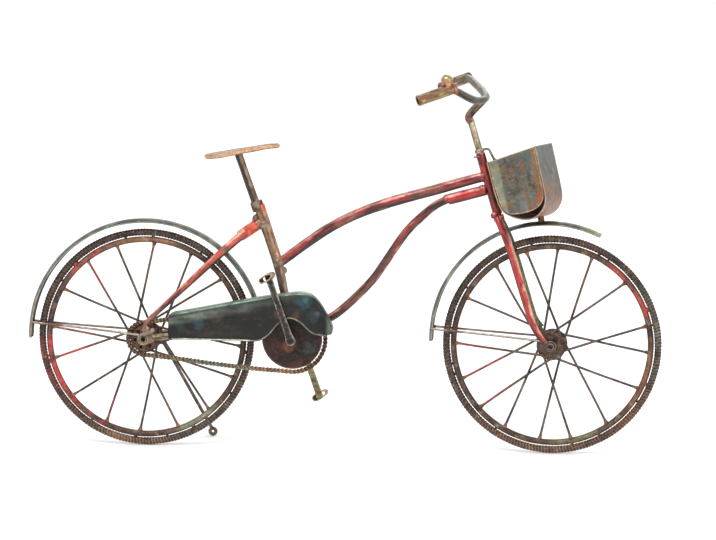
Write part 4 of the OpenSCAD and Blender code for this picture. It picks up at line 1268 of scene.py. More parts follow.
make("right_chain_stay_worn", join(dropout(-14.8, -13), tube(smooth(right_chain_path, 8), 22, 0.8, rough=0.06, seed=20, flat=(1, 1)),
     rod([-131, -15.2, 77.2], [-118, -15.3, 77.8], 0.7, 12), rod([-131, -15.2, 73.9], [-118, -15.3, 74.6], 0.7, 12)), "frame", ["right_chain_stay"], bare_metal(), stay_paint)
make("left_chain_stay_worn", join(dropout(13, 14.8), tube(smooth(left_chain_path, 8), 22, 0.8, rough=0.06, seed=21)), "frame", ["left_chain_stay"], bare_metal(), stay_paint)
shell = lathe([(2.56, -7.4), (4.1, -7.4), (4.4, -7.2), (4.5, -6.8), (4.5, -3), (4.5, 0), (4.5, 3), (4.5, 6.8), (4.4, 7.2), (4.1, 7.4), (2.56, 7.4), (2.56, 0)], BBX, BBZ, 48)
make("bottom_bracket_shell", shell, "frame", ["bottom_bracket"], red_metal(), red_paint(8, 0.6, 0.4, 0.35, C(108, 40, 36)))

# ---------------------------------------------------------------- saddle
outline = smooth([[-26, 0], [-24.8, 6], [-20.8, 11], [-14, 13.4], [-6, 12.4], [4, 9], [14, 5.6], [21, 3.8], [24.8, 2.2], [26, 0]], 6)
outline = np.vstack([outline, outline[::-1][1:-1] * np.array([1, -1])])


def saddle_place(v):
    c, s = math.cos(math.radians(10)), math.sin(math.radians(10))
    x, y, z = v[:, 0], v[:, 1], v[:, 2] + 1.8
    return np.column_stack([x * c - z * s - 72.8, y, x * s + z * c + 201.4])


def saddle_bulge(uv):
    P3 = np.column_stack([uv, 0 * uv[:, 0]])
    return 0.28 * fbm(P3, 10, 231, 3) - 0.35 * (uv[:, 1] / 13) ** 2 - 0.5 * sm(17, 26, uv[:, 0]) + 0.1


def saddle_paint(q, N):
    p = Paint(q, N, C(142, 122, 98), 0.5, 0.46, 0.3)
    g = np.column_stack([q.st[:, 0] / 8, q.st[:, 1] + 0.35 * q.st[:, 0] * 0.1, q.st[:, 2]])
    f = fbm(g, 2.2, 241, 4)
    p.coat(C(112, 88, 66), sm(0.0, 0.6, f) * 0.8)
    p.coat(C(188, 170, 140), sm(0.15, 0.75, fbm(g, 1.8, 242, 4)) * 0.55)
    p.coat(C(158, 98, 62), sm(0.3, 0.8, fbm(g, 3.2, 243, 4)) * 0.6, rust=0.8)
    p.coat(C(120, 112, 98), sm(0.25, 0.75, fbm(q.V, 7, 244, 4)) * 0.7, metal=0.7)
    p.coat(C(112, 100, 84), sm(10, 24, q.st[:, 0]) * 0.55, metal=0.7)
    p.edges(C(214, 168, 128), 1.1, 6, 0.75, rough=0.42)
    # painted shade: darker on the down-facing underside
    p.coat(C(86, 58, 42), sm(-0.5, -0.9, N[:, 2]) * 0.7)
    return p


make("saddle_plate", cut_sheet(outline, 3.0, saddle_place, 1.0, (), 0.9, saddle_bulge), "frame", ["saddle"], saddle_metal(), saddle_paint)

# ---------------------------------------------------------------- fenders


def fender_piece(x, a0, a1, seed, tip0=1.6, tip1=1.6):
    a = np.radians(np.arange(a0, a1 + 0.01, 0.55))
    arc_l = 81 * (a - a[0])
    e = np.minimum(arc_l / tip0, (arc_l[-1] - arc_l) / tip1)
    wide = 5.5 * (1 - 0.28 * np.sqrt(np.clip(1 - np.clip(e, 0, 1) ** 2, 0, 1)))
    s = np.linspace(1, -1, 19)
    y = wide[:, None] * s[None, :]
    y = y + 0.18 * np.sin(arc_l * 0.09 + seed)[:, None]
    P3 = np.stack([np.repeat(arc_l[:, None], 19, 1), y, 0 * y], 2).reshape(-1, 3)
    d = 0.16 * fbm(P3, 11, seed, 3).reshape(y.shape)
    R = 80.9 - 2.2 * s[None, :] ** 2 + d
    G = np.stack([x + R * np.cos(a)[:, None], y, WZ + R * np.sin(a)[:, None]], 2)
    return grid_solid(G, 0.7)


def fender_paint(front):
    def f(q, N):
        p = Paint(q, N, C(86, 92, 84), 0.55, 0.38, 0.15)
        p.streaks(C(58, 62, 56), 3.4, 251 + front, 0.45)
        p.patches(C(112, 118, 104), 8, 252 + front, 0.25)
        p.patches(C(104, 84, 62), 7, 253 + front, 0.22, rust=0.6)
        x, z = q.V[:, 0], q.V[:, 2]
        if front:
            p.coat(C(134, 142, 108), sm(152, 170, x) * 0.85)
            p.coat(C(92, 72, 54), sm(10, 4, np.abs(x - 131)) * 0.7)
            p.coat(C(98, 84, 66), sm(96, 76, z) * 0.7)
        else:
            p.coat(C(112, 92, 66), sm(112, 80, z) * sm(-170, -190, x) * 0.8, rust=0.5)
            p.coat(C(96, 104, 96), sm(-150, -120, x) * 0.4)
        p.edges(C(168, 172, 156), 0.8, 5, 0.7, metal=0.9, rough=0.3)
        # painted shade: darker on the inner face under the arch
        p.coat(C(48, 44, 40), sm(-0.2, -0.6, q.st[:, 2]) * 0.5)
        return p
    return f


make("rear_fender_strip", fender_piece(RX, 12, 181.8, 3), "frame", ["rear_fender"], sheet_metal(), fender_paint(False))
make("front_fender_strip", fender_piece(FX, 64, 181.4, 7).moved(lambda V: V + np.array([-2.4, 0, 2.6])), "steering", ["front_fender"], sheet_metal(), fender_paint(True))


def wire_paint(light):
    def f(q, N):
        p = Paint(q, N, C(150, 142, 132) if light else C(96, 84, 74), 0.85, 0.34, 0.15)
        p.streaks(C(98, 82, 70), 1.6, 261 + light, 0.4)
        p.patches(C(140, 90, 60), 3, 263, 0.14)
        p.coat(C(84, 66, 54), sm(0.0, 0.9, q.V[:, 1] / 10) * 0.6)
        return p
    return f


def stay(a, b, seed, r=0.8):
    a, b = np.array(a, float), np.array(b, float)
    t = np.linspace(0, 1, 8)
    bow = 0.3 * np.sin(math.pi * t) * math.sin(seed)
    L = a + (b - a) * t[:, None] + np.array([0, 0, 1]) * bow[:, None]
    return tube(np.column_stack([L, np.full(8, r)]), 14, 1.2, up=(0.1, 1, 0.1), rough=0.05, seed=seed, bevel=0.2)


make("rear_fender_wires", join(*[stay([-216.4, s * 4.6, 83], [-141, s * 13.9, 76.8], 3 + s) for s in (-1, 1)]), "frame", ["rear_fender_stays"], bare_metal(), wire_paint(True))
make("front_fender_wires", join(stay([56, 4.6, 84.4], [134.4, 11.4, 78], 6), stay([56, -4.6, 83.6], [134.4, -11.4, 77.2], 8)), "steering", ["front_fender_stays"], bare_metal(), wire_paint(True))

# ---------------------------------------------------------------- chain guard
E_PTS = [[-120.6, 75.2], [-121, 84], [-119.8, 91.6], [-108, 94.6], [-96, 97], [-84, 99.4], [-72, 101.8], [-58, 104.5], [-48, 106.2],
         [-38, 107.7], [-30, 108.2], [-24.4, 106.8], [-19.2, 102.4], [-14.6, 95.8], [-10.8, 89], [-9, 84], [-9.8, 79.8]]
L_PTS = [[-118.6, 74.9], [-116.4, 74.9], [-112.6, 74.9], [-104.5, 74.9], [-94, 74.8], [-83, 74.8], [-72, 74.8], [-60, 74.8], [-53.2, 78.4],
         [-46.5, 86.2], [-40.5, 89.9], [-35.5, 90.0], [-30.0, 87.0], [-25.5, 82.6], [-21.4, 80.1], [-17.6, 79.5], [-13.6, 79.4]]
E, Lw = smooth(E_PTS, 9), smooth(L_PTS, 9)
sec = [(0.0, -17.55), (0.5, -17.25), (1.1, -17.0)]
rows = []
for e, l in zip(E, Lw):
    D = np.linalg.norm(e - l)
    d = (e - l) / D
    r = min(3.2, D * 0.45)
    pts = [(q, y) for q, y in ((0.0, -17.5), (0.45, -17.2), (1.0, -17.0))]
    for t in np.linspace(0.05, 1, 20):
        q = 1.0 + (D - r - 1.0) * t
        pts.append((q, -17.0 - 0.42 * math.sin(math.pi * min(1, t)) ** 0.8))
    for a in np.radians(np.linspace(12, 90, 8)):
        pts.append((D - r + r * math.sin(a), -17.0 + r - r * math.cos(a)))
    for y in np.linspace(-17 + r, -8.95, 6)[1:]:
        pts.append((D, y))
    rows.append([[l[0] + d[0] * q, y, l[1] + d[1] * q] for q, y in pts])
G = np.array(rows)
den = 0.13 * fbm(G.reshape(-1, 3), 14, 271, 3).reshape(G.shape[:2])
G[..., 1] += den * (G[..., 1] < -15)
guard = grid_solid(G, 0.8)


def guard_paint(q, N):
    p = Paint(q, N, C(26, 30, 27), 0.35, 0.36, 0.12)
    x, z = q.V[:, 0], q.V[:, 2]
    g = np.column_stack([x / 5, q.V[:, 1], z])
    p.coat(C(17, 17, 16), sm(0.0, 0.7, fbm(g, 4, 281, 4)) * 0.8)
    p.coat(C(54, 42, 32), sm(0.1, 0.7, fbm(g, 5, 282, 4)) * 0.5, rust=0.5)
    p.coat(C(52, 62, 54), sm(0.25, 0.8, fbm(g, 6, 283, 4)) * 0.5)
    # painted shade: near-black over the lower part of the sheet
    p.coat(C(11, 12, 11), sm(97, 86, z - 0.08 * (x + 60)) * 0.75)
    low = sm(92, 78, z) * sm(-60, -80, x)
    p.coat(C(50, 40, 31), low * sm(-0.4, 0.5, fbm(g, 4, 286, 3)) * 0.5)
    # upper face towards the roll: paler green-grey, and pale on the roll's up-facing side, both painted highlights
    hgt = z - np.interp(x, [-121, -84, -48, -30, -19, -9], [91.6, 99.4, 106.2, 108.2, 102.4, 84])
    p.coat(C(70, 84, 74), sm(-7, -1.5, hgt) * 0.45 * (x < -25), rough=0.28)
    p.facing(C(150, 172, 154), (0, -0.35, 0.95), 0.74, 0.97, 3, 0.15, 6, 0.65, metal=0.6, rough=0.26)
    p.spot(C(44, 78, 88), -29, 101.2, 5.2, 1, 0.65, ragged=1.2, rough=0.26)
    p.spot(C(70, 112, 106), -27, 103, 2.4, 2, 0.4, ragged=1.2)
    p.spot(C(46, 70, 72), -22, 92, 5.0, 3, 0.45, ragged=1.2, rough=0.26)
    p.spot(C(96, 90, 98), -19.5, 94, 2.2, 4, 0.45, ragged=1.1)
    p.spot(C(42, 66, 74), -99, 84.5, 4.6, 5, 0.55, ragged=1.2)
    p.spot(C(44, 60, 62), -112, 82, 3.6, 6, 0.35, ragged=1.2)
    p.spot(C(80, 72, 48), -88, 90, 4.5, 7, 0.35, ragged=1.2)
    p.spot(C(98, 58, 36), -45, 94, 4.5, 8, 0.6, ragged=1.0, rust=0.8)
    p.spot(C(20, 18, 17), -48, 84, 7, 9, 0.7, ragged=0.8)
    p.spot(C(96, 52, 34), -34, 92.5, 3.0, 10, 0.5, ragged=1.0)
    # soft sheen along the roll
    p.coat(C(150, 160, 148), sm(-9.5, -5.0, hgt) * sm(-2.0, -4.0, hgt) * sm(-40, -70, x) * sm(-0.9, 0.3, fbm(g, 5, 287, 3)) * 0.55, metal=0.7, rough=0.26)
    # pale rolled nose and thin bottom lip
    p.coat(C(108, 130, 112), sm(-14.2, -11.2, x) * 0.5, rough=0.26)
    lip = sm(1.1, 0.3, q.st[:, 1])
    p.coat(C(168, 172, 150), lip * sm(-0.8, 0.4, fbm(q.V, 6, 285)) * 0.65, metal=0.85, rough=0.3)
    # painted shade: the back face of the sheet darker
    p.coat(C(34, 30, 27), sm(-0.3, -0.7, q.st[:, 2]) * 0.6, rough=0.55)
    return p


tabs = join(rod([-45.4, -9.8, 105.2], [-44.4, -2.4, 105.2], 1.1, 14, up=(1, 0, 0)), rod([-13.6, -9.8, 92.4], [-13.4, -2.2, 90], 1.1, 14, up=(1, 0, 0)))
make("chain_guard_formed", guard, "frame", ["chain_guard"], sheet_metal(), guard_paint, 50)
make("chain_guard_tabs", tabs, "frame", [], rust_metal(), solder_paint(C(84, 74, 62), 6))

# ---------------------------------------------------------------- kickstand
PVX, PVZ = -129.5, 69.6
FTX, FTY = -97.4, 36.0
FTZ = (2 * CL + 1.2 + 36 * SL) / CL
make("kickstand_bracket", join(rod([PVX, 13.6, 75.2], [PVX, 13.6, 69.4], 1.3, 16), rod([PVX, 12.6, PVZ], [PVX, 18.6, PVZ], 1.2, 16, up=(1, 0, 0)), lathe(disc_profile(2.0, 18.1, 18.9, 0.3), PVX, PVZ, 24)),
     "frame", ["kickstand_pivot"], bare_metal(), solder_paint(C(122, 112, 98), 7))
foot = closed_tube(np.array([[FTX + 2 * math.cos(a), FTY, FTZ + 2 * math.sin(a)] for a in np.arange(40) * 2 * math.pi / 40]), 16, 1.18, (0, 1, 0))
leg = join(lathe(ring_profile(1.27, 2.8, 15, 17.6, 0.4), PVX, PVZ, 40), rod([PVX + 1.2, 16.3, PVZ - 2.2], [FTX - 0.6, FTY, FTZ + 1.9], 1.2, 18, rough=0.08), foot)
make("kickstand_wire", leg, "kickstand", ["kickstand"], bare_metal(),
     lambda q, N: Paint(q, N, C(100, 92, 80), 0.75, 0.42, 0.25).patches(C(66, 58, 48), 5, 291, 0.42).patches(C(150, 142, 126), 3, 292, 0.2).patches(C(126, 84, 56), 4, 293, 0.18))

# ---------------------------------------------------------------- fork
# the steerer's dark brown on its rear-facing side is painted shade
make("steerer_rod", join(tube(np.column_stack([np.array([along(s) for s in np.linspace(-25.5, 45.5, 30)]), np.full(30, 2.3)]), 28, 0.9, rough=0.03, seed=22),
     lathe([(2.2, 0), (3.0, 0), (3.2, 0.3), (3.2, 2.1), (3.0, 2.4), (2.2, 2.4)], 0, 0, 40).moved(lambda V: np.array([along(21.9 + v[1]) + v[0] * np.array([math.cos(RAKE), 0, math.sin(RAKE)]) + v[2] * np.array([0, 1, 0]) for v in V]))),
     "steering", ["steerer"], brass_metal(),
     lambda q, N: Paint(q, N, C(172, 160, 134), 0.8, 0.32, 0.1).streaks(C(126, 110, 86), 2.0, 301, 0.35).streaks(C(206, 198, 172), 1.8, 302, 0.25).facing(C(96, 72, 50), (-1, -0.25, 0), 0.35, 0.8, 2, 0.25, 6, 0.85).patches(C(120, 84, 54), 4, 303, 0.14))
stem_path = [[82.4, 0, 223, 2.55], [80.6, 0, 226, 2.6], [81.8, 0, 229, 2.6], [85.2, 0, 233, 2.6], [90.4, 0, 238, 2.5]]
# the stem's dark front underside is painted shade
make("stem_bent_rod", join(tube(smooth(stem_path, 8), 26, 0.5, rough=0.10, seed=23), blob([80.6, -0.6, 225.6], (2.5, 2.6, 1.5), 51, d=(1, 0, 0.7)), blob([91.2, 0, 238.9], (2.5, 3.0, 2.1), 52)), "steering", ["stem"], rust_metal(),
     lambda q, N: Paint(q, N, C(112, 102, 86), 0.65, 0.42, 0.3).streaks(C(58, 50, 44), 2.4, 311, 0.45, long=4).streaks(C(158, 146, 124), 1.6, 312, 0.2, long=4).spot(C(120, 74, 48), 81, 225, 3.4, 2, 0.55).facing(C(44, 38, 34), (0.7, 0, -0.7), 0.5, 0.9, 3, 0.2, 4, 0.7))
bar_path = [[73.1, -47.3, 249.1, 2.4], [77.2, -41, 246.6, 2.5], [82.2, -29, 242.4, 2.55], [86.6, -17, 239.3, 2.55], [90.6, -7, 238.8, 2.55], [92, 0, 240, 2.55],
            [90.4, 7.5, 241.7, 2.55], [87.2, 17, 243.9, 2.55], [82, 29, 247, 2.55], [77.6, 40, 249.2, 2.5], [75.4, 44.4, 249.6, 2.4]]


def bar_paint(q, N):
    y = q.V[:, 1]
    p = Paint(q, N, C(60, 55, 38), 0.55, 0.42, 0.2)
    p.streaks(C(60, 50, 38), 2.6, 321, 0.45)
    p.streaks(C(108, 99, 68), 2.2, 322, 0.22)
    p.coat(C(104, 106, 94), sm(-2, 8, y) * 0.5)
    p.coat(C(112, 84, 72), sm(12, 24, y) * sm(40, 26, y) * sm(-0.4, 0.5, fbm(q.V, 5, 323)) * 0.6)
    # painted highlights: pale on the forward-facing middle of the bar and on its up-facing side
    p.coat(C(158, 166, 148), sm(11, 3, np.abs(y - 2)) * sm(-0.5, 0.3, fbm(q.V, 5, 324)) * sm(0.0, 0.7, N[:, 0]) * 0.8, rough=0.3)
    p.facing(C(160, 158, 134), (0, -0.3, 1), 0.86, 1.0, 3, 0.2, 4, 0.45)
    p.coat(C(184, 118, 84), sm(5.5, 2.0, np.hypot(y + 48, (q.V[:, 0] - 73) * 0.6)) * 0.9, metal=0.8, rough=0.34)
    return p


make("handlebar_bent_rod", tube(smooth(bar_path, 8), 28, 0.7, up=(0.35, 0, 1), rough=0.08, seed=24), "steering", ["handlebar"], brass_metal(), bar_paint)


def grip_paint(tag):
    def f(q, N):
        near = tag == "right"
        p = Paint(q, N, C(150, 130, 92) if near else C(128, 132, 118), 0.75, 0.36, 0.2)
        p.streaks(C(112, 80, 56), 2.2, 331, 0.38)
        p.streaks(C(186, 158, 108) if near else C(164, 168, 150), 1.8, 332, 0.25)
        p.patches(C(188, 140, 92) if near else C(90, 84, 74), 5, 333, 0.25)
        p.edges(C(86, 62, 48), 1.4, 3, 0.6)
        p.coat(C(26, 21, 18), sm(-0.3, -0.7, q.st[:, 2] * 0 + (q.inner if hasattr(q, "inner") else 0)) * 0.0)
        return p
    return f


for s, tag, a, d in ((-1, "right", (75, -51, 249.8), (-24, -10, -8.3)), (1, "left", (76.6, 47.4, 249.9), (-20.5, 13, -8.3))):
    a, d = np.array(a, float), unit(d)
    make(tag + "_grip_tube", pipe(a, a + 26 * d, 3.6, 2.8, 40, 0.7, rough=0.09, seed=25 + s, lip=0.04), "steering", [tag + "_grip"], brass_metal(), grip_paint(tag))


def bell_frame(V):
    """Local dome axes to the place of the bell."""
    ax, ay = math.radians(4), math.radians(-14)
    x, y, z = V.T
    y, z = y * math.cos(ax) - z * math.sin(ax), y * math.sin(ax) + z * math.cos(ax)
    x, z = x * math.cos(ay) + z * math.sin(ay), -x * math.sin(ay) + z * math.cos(ay)
    return np.column_stack([x + 70.8, y - 52.4, z + 255.2])


dome = [(0.02, 4.24), (0.35, 4.22), (0.6, 4.12), (0.72, 4.05)] + [(4.05 * math.sin(a), 4.05 * math.cos(a)) for a in np.radians(np.arange(14, 88, 5))] + [(4.15, 0.1), (4.22, -0.1), (4.22, -0.4), (4.05, -0.6), (3.0, -0.6), (1.5, -0.6), (0.02, -0.6)]
dome_p = lathe(dome, 0, 0, 56, closed=False)
dome_p.V = dome_p.V[:, [0, 2, 1]]
dome_p.moved(bell_frame)
make("bell_dome", dome_p, "steering", ["bell"], bell_metal(),
     lambda q, N: Paint(q, N, C(168, 150, 110), 0.95, 0.22, 0.0).patches(C(118, 92, 60), 3.4, 341, 0.28).patches(C(206, 200, 180), 2.6, 342, 0.26).coat(C(198, 130, 66), sm(255.6, 254.4, q.V[:, 2]) * 0.6))
braze = join(tube([[72, -51.8, 250.4, 2.6], [71.6, -52, 252.4, 3.1], [71.0, -52.3, 254.9, 3.3]], 24, 0.4, rough=0.25, seed=61, bevel=0.4),
             blob([74.6, -49.6, 251.2], (2.6, 2.4, 2.0), 62), blob([74.9, -49.2, 249.6], (3.0, 2.7, 2.5), 63, lump=0.22), blob([68.6, -52.2, 252.6], (1.5, 1.8, 1.7), 64))
make("bell_braze", braze, "steering", ["bell_clamp"], braze_metal(),
     lambda q, N: Paint(q, N, C(196, 136, 104), 0.85, 0.32, 0.1).patches(C(150, 92, 72), 2.4, 351, 0.4).patches(C(226, 176, 120), 2, 352, 0.25).patches(C(132, 112, 112), 2.6, 353, 0.2))

crown = join(lathe([(2.2, 0), (3.4, 0), (3.7, 0.3), (3.75, 2), (3.7, 3.5), (3.4, 3.8), (2.2, 3.8)], 0, 0, 40).moved(lambda V: np.array([along(-25.7 + v[1]) + v[0] * np.array([math.cos(RAKE), 0, math.sin(RAKE)]) + v[2] * np.array([0, 1, 0]) for v in V])),
             rod([102, -6.0, 157.2], [102, 6.0, 157.2], 2.55, 26, rough=0.12, seed=26, bevel=0.8), blob([98.6, -4.4, 161.0], (2.6, 2.3, 2.4), 53), blob([103.4, -6.0, 158.4], (2.4, 1.8, 2.8), 54), blob([98.6, 4.4, 161.0], (2.4, 2.2, 2.3), 55))
make("fork_crown_brazed", crown, "steering", ["fork_crown"], red_metal(), red_paint(9, 0.4, 0.8, 0.3, C(150, 44, 42)))


def eye(s):
    return lathe(ring_profile(2.3, 3.8, *((-12.4, -10) if s < 0 else (10, 12.4)), 0.5), FX, WZ, 40)


def right_blade_paint(q, N):
    p = red_paint(10, 0.35, 0.5, 0.14, C(176, 46, 44))(q, N)
    # painted highlight: pale on the forward, right-facing side
    p.facing(C(232, 190, 160), (1, -0.35, 0.25), 0.80, 0.98, 4, 0.22, 6, 0.75, rough=0.3)
    # painted shade: dark on the rear-facing side
    p.facing(C(70, 44, 40), (-1, -0.1, -0.1), 0.55, 0.95, 5, 0.25, 6, 0.65)
    p.coat(C(92, 82, 72), sm(5.2, 3.6, np.hypot(q.V[:, 0] - FX, q.V[:, 2] - WZ)) * 0.8, metal=0.8)
    return p


def left_blade_paint(q, N):
    p = Paint(q, N, C(104, 104, 72), 0.55, 0.4, 0.2)
    p.streaks(C(68, 66, 46), 3, 361, 0.42)
    p.streaks(C(146, 140, 100), 2.4, 362, 0.2)
    p.patches(C(112, 62, 48), 6, 363, 0.18)
    p.coat(C(86, 74, 66), sm(5.2, 3.6, np.hypot(q.V[:, 0] - FX, q.V[:, 2] - WZ)) * 0.8, metal=0.8)
    return p


make("right_fork_blade_worn", join(tube(smooth(right_blade, 8), 28, 0.8, rough=0.08, seed=27), eye(-1), blob([126.2, -9.4, 88.0], (1.6, 1.4, 2.6), 57, d=(0.3, 0, -1))), "steering", ["right_fork_blade"], red_metal(), right_blade_paint)
make("left_fork_blade_worn", join(tube(smooth(flip(right_blade), 8), 28, 0.8, rough=0.08, seed=28), eye(1), cone([129.6, 11.0, 84.4], [126.2, 11.2, 91.5], 2.4, 1.0, 58)), "steering", ["left_fork_blade"], rust_metal(), left_blade_paint)

# ---------------------------------------------------------------- basket
basket_path = [[-5.2, 33.2], [-4.6, 18], [-3.4, 5], [-1.4, -1.4], [3.2, -5.6], [9.8, -9.2], [16.4, -10.6], [22.8, -9], [27.8, -4.6], [30.4, 1.6], [30.8, 14], [30.6, 36.8]]
panel_path = [[-4.2, 33], [-3.6, 18], [-2.2, 4], [-0.2, -1.4], [3.8, -4.4], [10, -5.4], [17, -5.2], [23, -3.6], [27.4, 0], [29.2, 6], [29.4, 18], [29.4, 36.6]]


def in_basket(V):
    k, t, r = math.radians(12), math.radians(14), math.radians(4.4)
    x, y, z = np.asarray(V, float).T
    y, z = y * math.cos(r) + z * math.sin(r), -y * math.sin(r) + z * math.cos(r)
    x, y = x * math.cos(k) + y * math.sin(k), -x * math.sin(k) + y * math.cos(k)
    x, z = x * math.cos(t) - z * math.sin(t), x * math.sin(t) + z * math.cos(t)
    return np.column_stack([x + 110.6, y, z + 166.4])


bp = smooth(basket_path, 8)
bp, bs = resample(bp, 0.8)
wv = np.linspace(19, -19, 46)
G = np.zeros((len(bp), 46, 3))
G[..., 0], G[..., 2] = bp[:, 0][:, None], bp[:, 1][:, None]
G[..., 1] = wv[None, :] + 0.18 * np.sin(bs * 0.13)[:, None]
P3 = np.stack([np.repeat(bs[:, None], 46, 1), G[..., 1], 0 * G[..., 1]], 2).reshape(-1, 3)
dent = (0.22 * fbm(P3, 12, 371, 3) + 0.05 * fbm(P3, 3, 372, 2)).reshape(G.shape[:2])
tn = np.gradient(bp, axis=0)
tn /= np.linalg.norm(tn, axis=1)[:, None]
G[..., 0] += (tn[:, 1])[:, None] * dent
G[..., 2] += (-tn[:, 0])[:, None] * dent
top_in = np.clip(1 - np.minimum(bs, bs[-1] - bs) / 0.9, 0, 1)
strip_p = grid_solid(G, 0.9)
strip_local = strip_p.V.copy()
strip_p.moved(in_basket)
strip_p.local = strip_local


def basket_paint(q, N):
    x, y, z = q.local.T
    p = Paint(q, N, C(66, 69, 61), 0.4, 0.46, 0.2)
    p.patches(C(96, 110, 100), 9, 381, 0.28)
    p.patches(C(92, 78, 60), 7, 382, 0.36)
    p.patches(C(86, 82, 76), 5, 383, 0.3)
    p.patches(C(132, 134, 120), 2.6, 384, 0.10, amount=0.6)
    front = sm(20, 26, x)
    p.coat(C(78, 100, 96), front * sm(22, 32, z) * sm(-0.6, 0.3, fbm(q.V, 6, 385)) * 0.7)
    p.coat(C(132, 88, 56), front * sm(18, 2, z) * sm(-0.7, 0.4, fbm(q.V, 5, 386)) * 0.85, rust=0.7)
    p.coat(C(108, 98, 84), sm(-4, -9, z) * 0.5)
    p.coat(C(150, 102, 72), sm(-2, -8, z) * sm(12, 22, x) * 0.6, rust=0.6)
    back = sm(6, 1, x)
    p.coat(C(150, 152, 128), back * sm(-0.4, 0.6, fbm(q.V, 5, 387)) * 0.55)
    p.edges(C(196, 182, 152), 0.6, 5, 0.7, metal=0.8, rough=0.32)
    inner = sm(-0.3, -0.7, q.st[:, 2])
    p.coat(C(70, 46, 34), inner * 0.75, metal=0.3, rough=0.6, rust=0.6)
    return p


make("basket_strip", strip_p, "steering", ["basket"], patina_metal(), basket_paint)

SCORES = [  # faint straight scores on the right side, u, v from and to, height mm, half width mm
    ((2.0, 24.6), (19.6, 27.4), 0.10, 0.38), ((7.4, 17.4), (25.4, 19.6), -0.10, 0.36), ((4.0, 9.8), (13.8, 11.0), 0.12, 0.42),
    ((17.6, 8.6), (27.0, 9.8), 0.08, 0.34)]


def seg_gap(uv, a, b):
    a, b = np.array(a), np.array(b)
    ab = b - a
    t = np.clip(((uv - a) @ ab) / (ab @ ab), 0, 1)
    return np.linalg.norm(uv - (a + t[:, None] * ab), axis=1)


def side_bulge(seed, scored):
    def f(uv):
        P3 = np.column_stack([uv, 0 * uv[:, 0]])
        b = 0.24 * fbm(P3, 12, seed, 3) + 0.05 * fbm(P3, 2.5, seed + 1, 2) + 0.1
        if scored:
            for a, c, h, w in SCORES:
                d = seg_gap(uv + 0.12 * np.stack([fbm(P3, 4, seed + 2), fbm(P3, 4, seed + 3)], 1), a, c)
                b = b + h * np.exp(-(d / w) ** 2)
        return b
    return f


def panel_paint(scored):
    def f(q, N):
        u, v = q.st[:, 0], q.st[:, 1]
        uv = np.column_stack([u, v])
        p = Paint(q, N, C(78, 80, 70), 0.38, 0.48, 0.25)
        p.patches(C(74, 90, 86), 8, 391, 0.40)
        p.patches(C(104, 80, 58), 7, 392, 0.38)
        p.patches(C(62, 60, 54), 4.5, 393, 0.30)
        p.patches(C(96, 120, 120), 3.4, 394, 0.10, amount=0.6)
        p.patches(C(128, 100, 60), 4, 395, 0.2, amount=0.7)
        p.coat(C(122, 84, 44), sm(24.0, 28.5, u) * sm(-0.8, 0.1, fbm(q.V, 4, 396)) * 0.85, rust=0.7)
        corner = sm(30, 42, u * 1.1 + (12 - v) * 1.0)
        p.coat(C(138, 72, 38), corner * sm(-0.8, 0.2, fbm(q.V, 4, 397)) * 0.9, rust=0.9, rough=0.58)
        p.coat(C(186, 118, 78), corner * sm(0.1, 0.6, fbm(q.V, 2.2, 398)) * 0.6)
        p.coat(C(142, 148, 122), sm(3.6, 1.2, u) * 0.6)
        p.coat(C(92, 98, 94), sm(9, 3, u) * sm(26, 34, v) * 0.7)
        p.coat(C(104, 108, 108), sm(10, 13, u) * sm(18, 15, u) * sm(9, 5, v) * 0.6)
        if scored:
            for a, c, h, w in SCORES:
                d = seg_gap(uv, a, c)
                p.coat(C(172, 146, 126), sm(w * 1.0, w * 0.2, d + 0.12 * fbm(q.V, 2, 399)) * 0.5 * sm(-0.25, 0.5, fbm(q.V, 3, 400)), metal=0.6, rough=0.4)
                if h > 0:
                    # painted shade along both sides of each raised score
                    p.coat(C(74, 58, 50), sm(0.8, 0.2, np.abs(d - w * 1.9)) * 0.35)
            p.coat(C(44, 48, 48), sm(2.0, 0.6, np.hypot(u - 8.2, v - 18.5)) * 0.7)
        p.edges(C(206, 190, 156), 0.75, 5, 0.85, metal=0.85, rough=0.3)
        if not scored:
            p.patches(C(92, 60, 44), 6, 401, 0.4)
        p.coat(C(64, 42, 32), sm(-0.3, -0.6, q.st[:, 2]) * 0.8, metal=0.3, rough=0.6)
        return p
    return f


for s, tag, route in ((-1, "right", panel_path), (1, "left", basket_path)):
    pc = cut_sheet(smooth(route, 8), 0.8, lambda v, k=s: in_basket(np.column_stack([v[:, 0], k * (18.2 + v[:, 2]), v[:, 1]])), 0.5 if s < 0 else 0.8, (), 0.2, side_bulge(401 + s, s < 0))
    make("basket_%s_panel" % tag, pc, "steering", ["basket_%s_side" % tag], patina_metal(), panel_paint(s < 0))

make("basket_strap_bent", tube(smooth([[90, 0, 204.9, 1.1], [92.6, 0, 205.4, 1.1], [94.5, 0, 204.9, 1.1], [95.9, 0, 202.2, 1.1], [98.5, 0, 197.5, 1.1]], 8), 16, 0.5, up=(0, 1, 0), flat=(0.75, 1.5), rough=0.06, seed=29, bevel=0.3),
     "steering", ["basket_strap"], bare_metal(), solder_paint(C(138, 132, 116), 9))

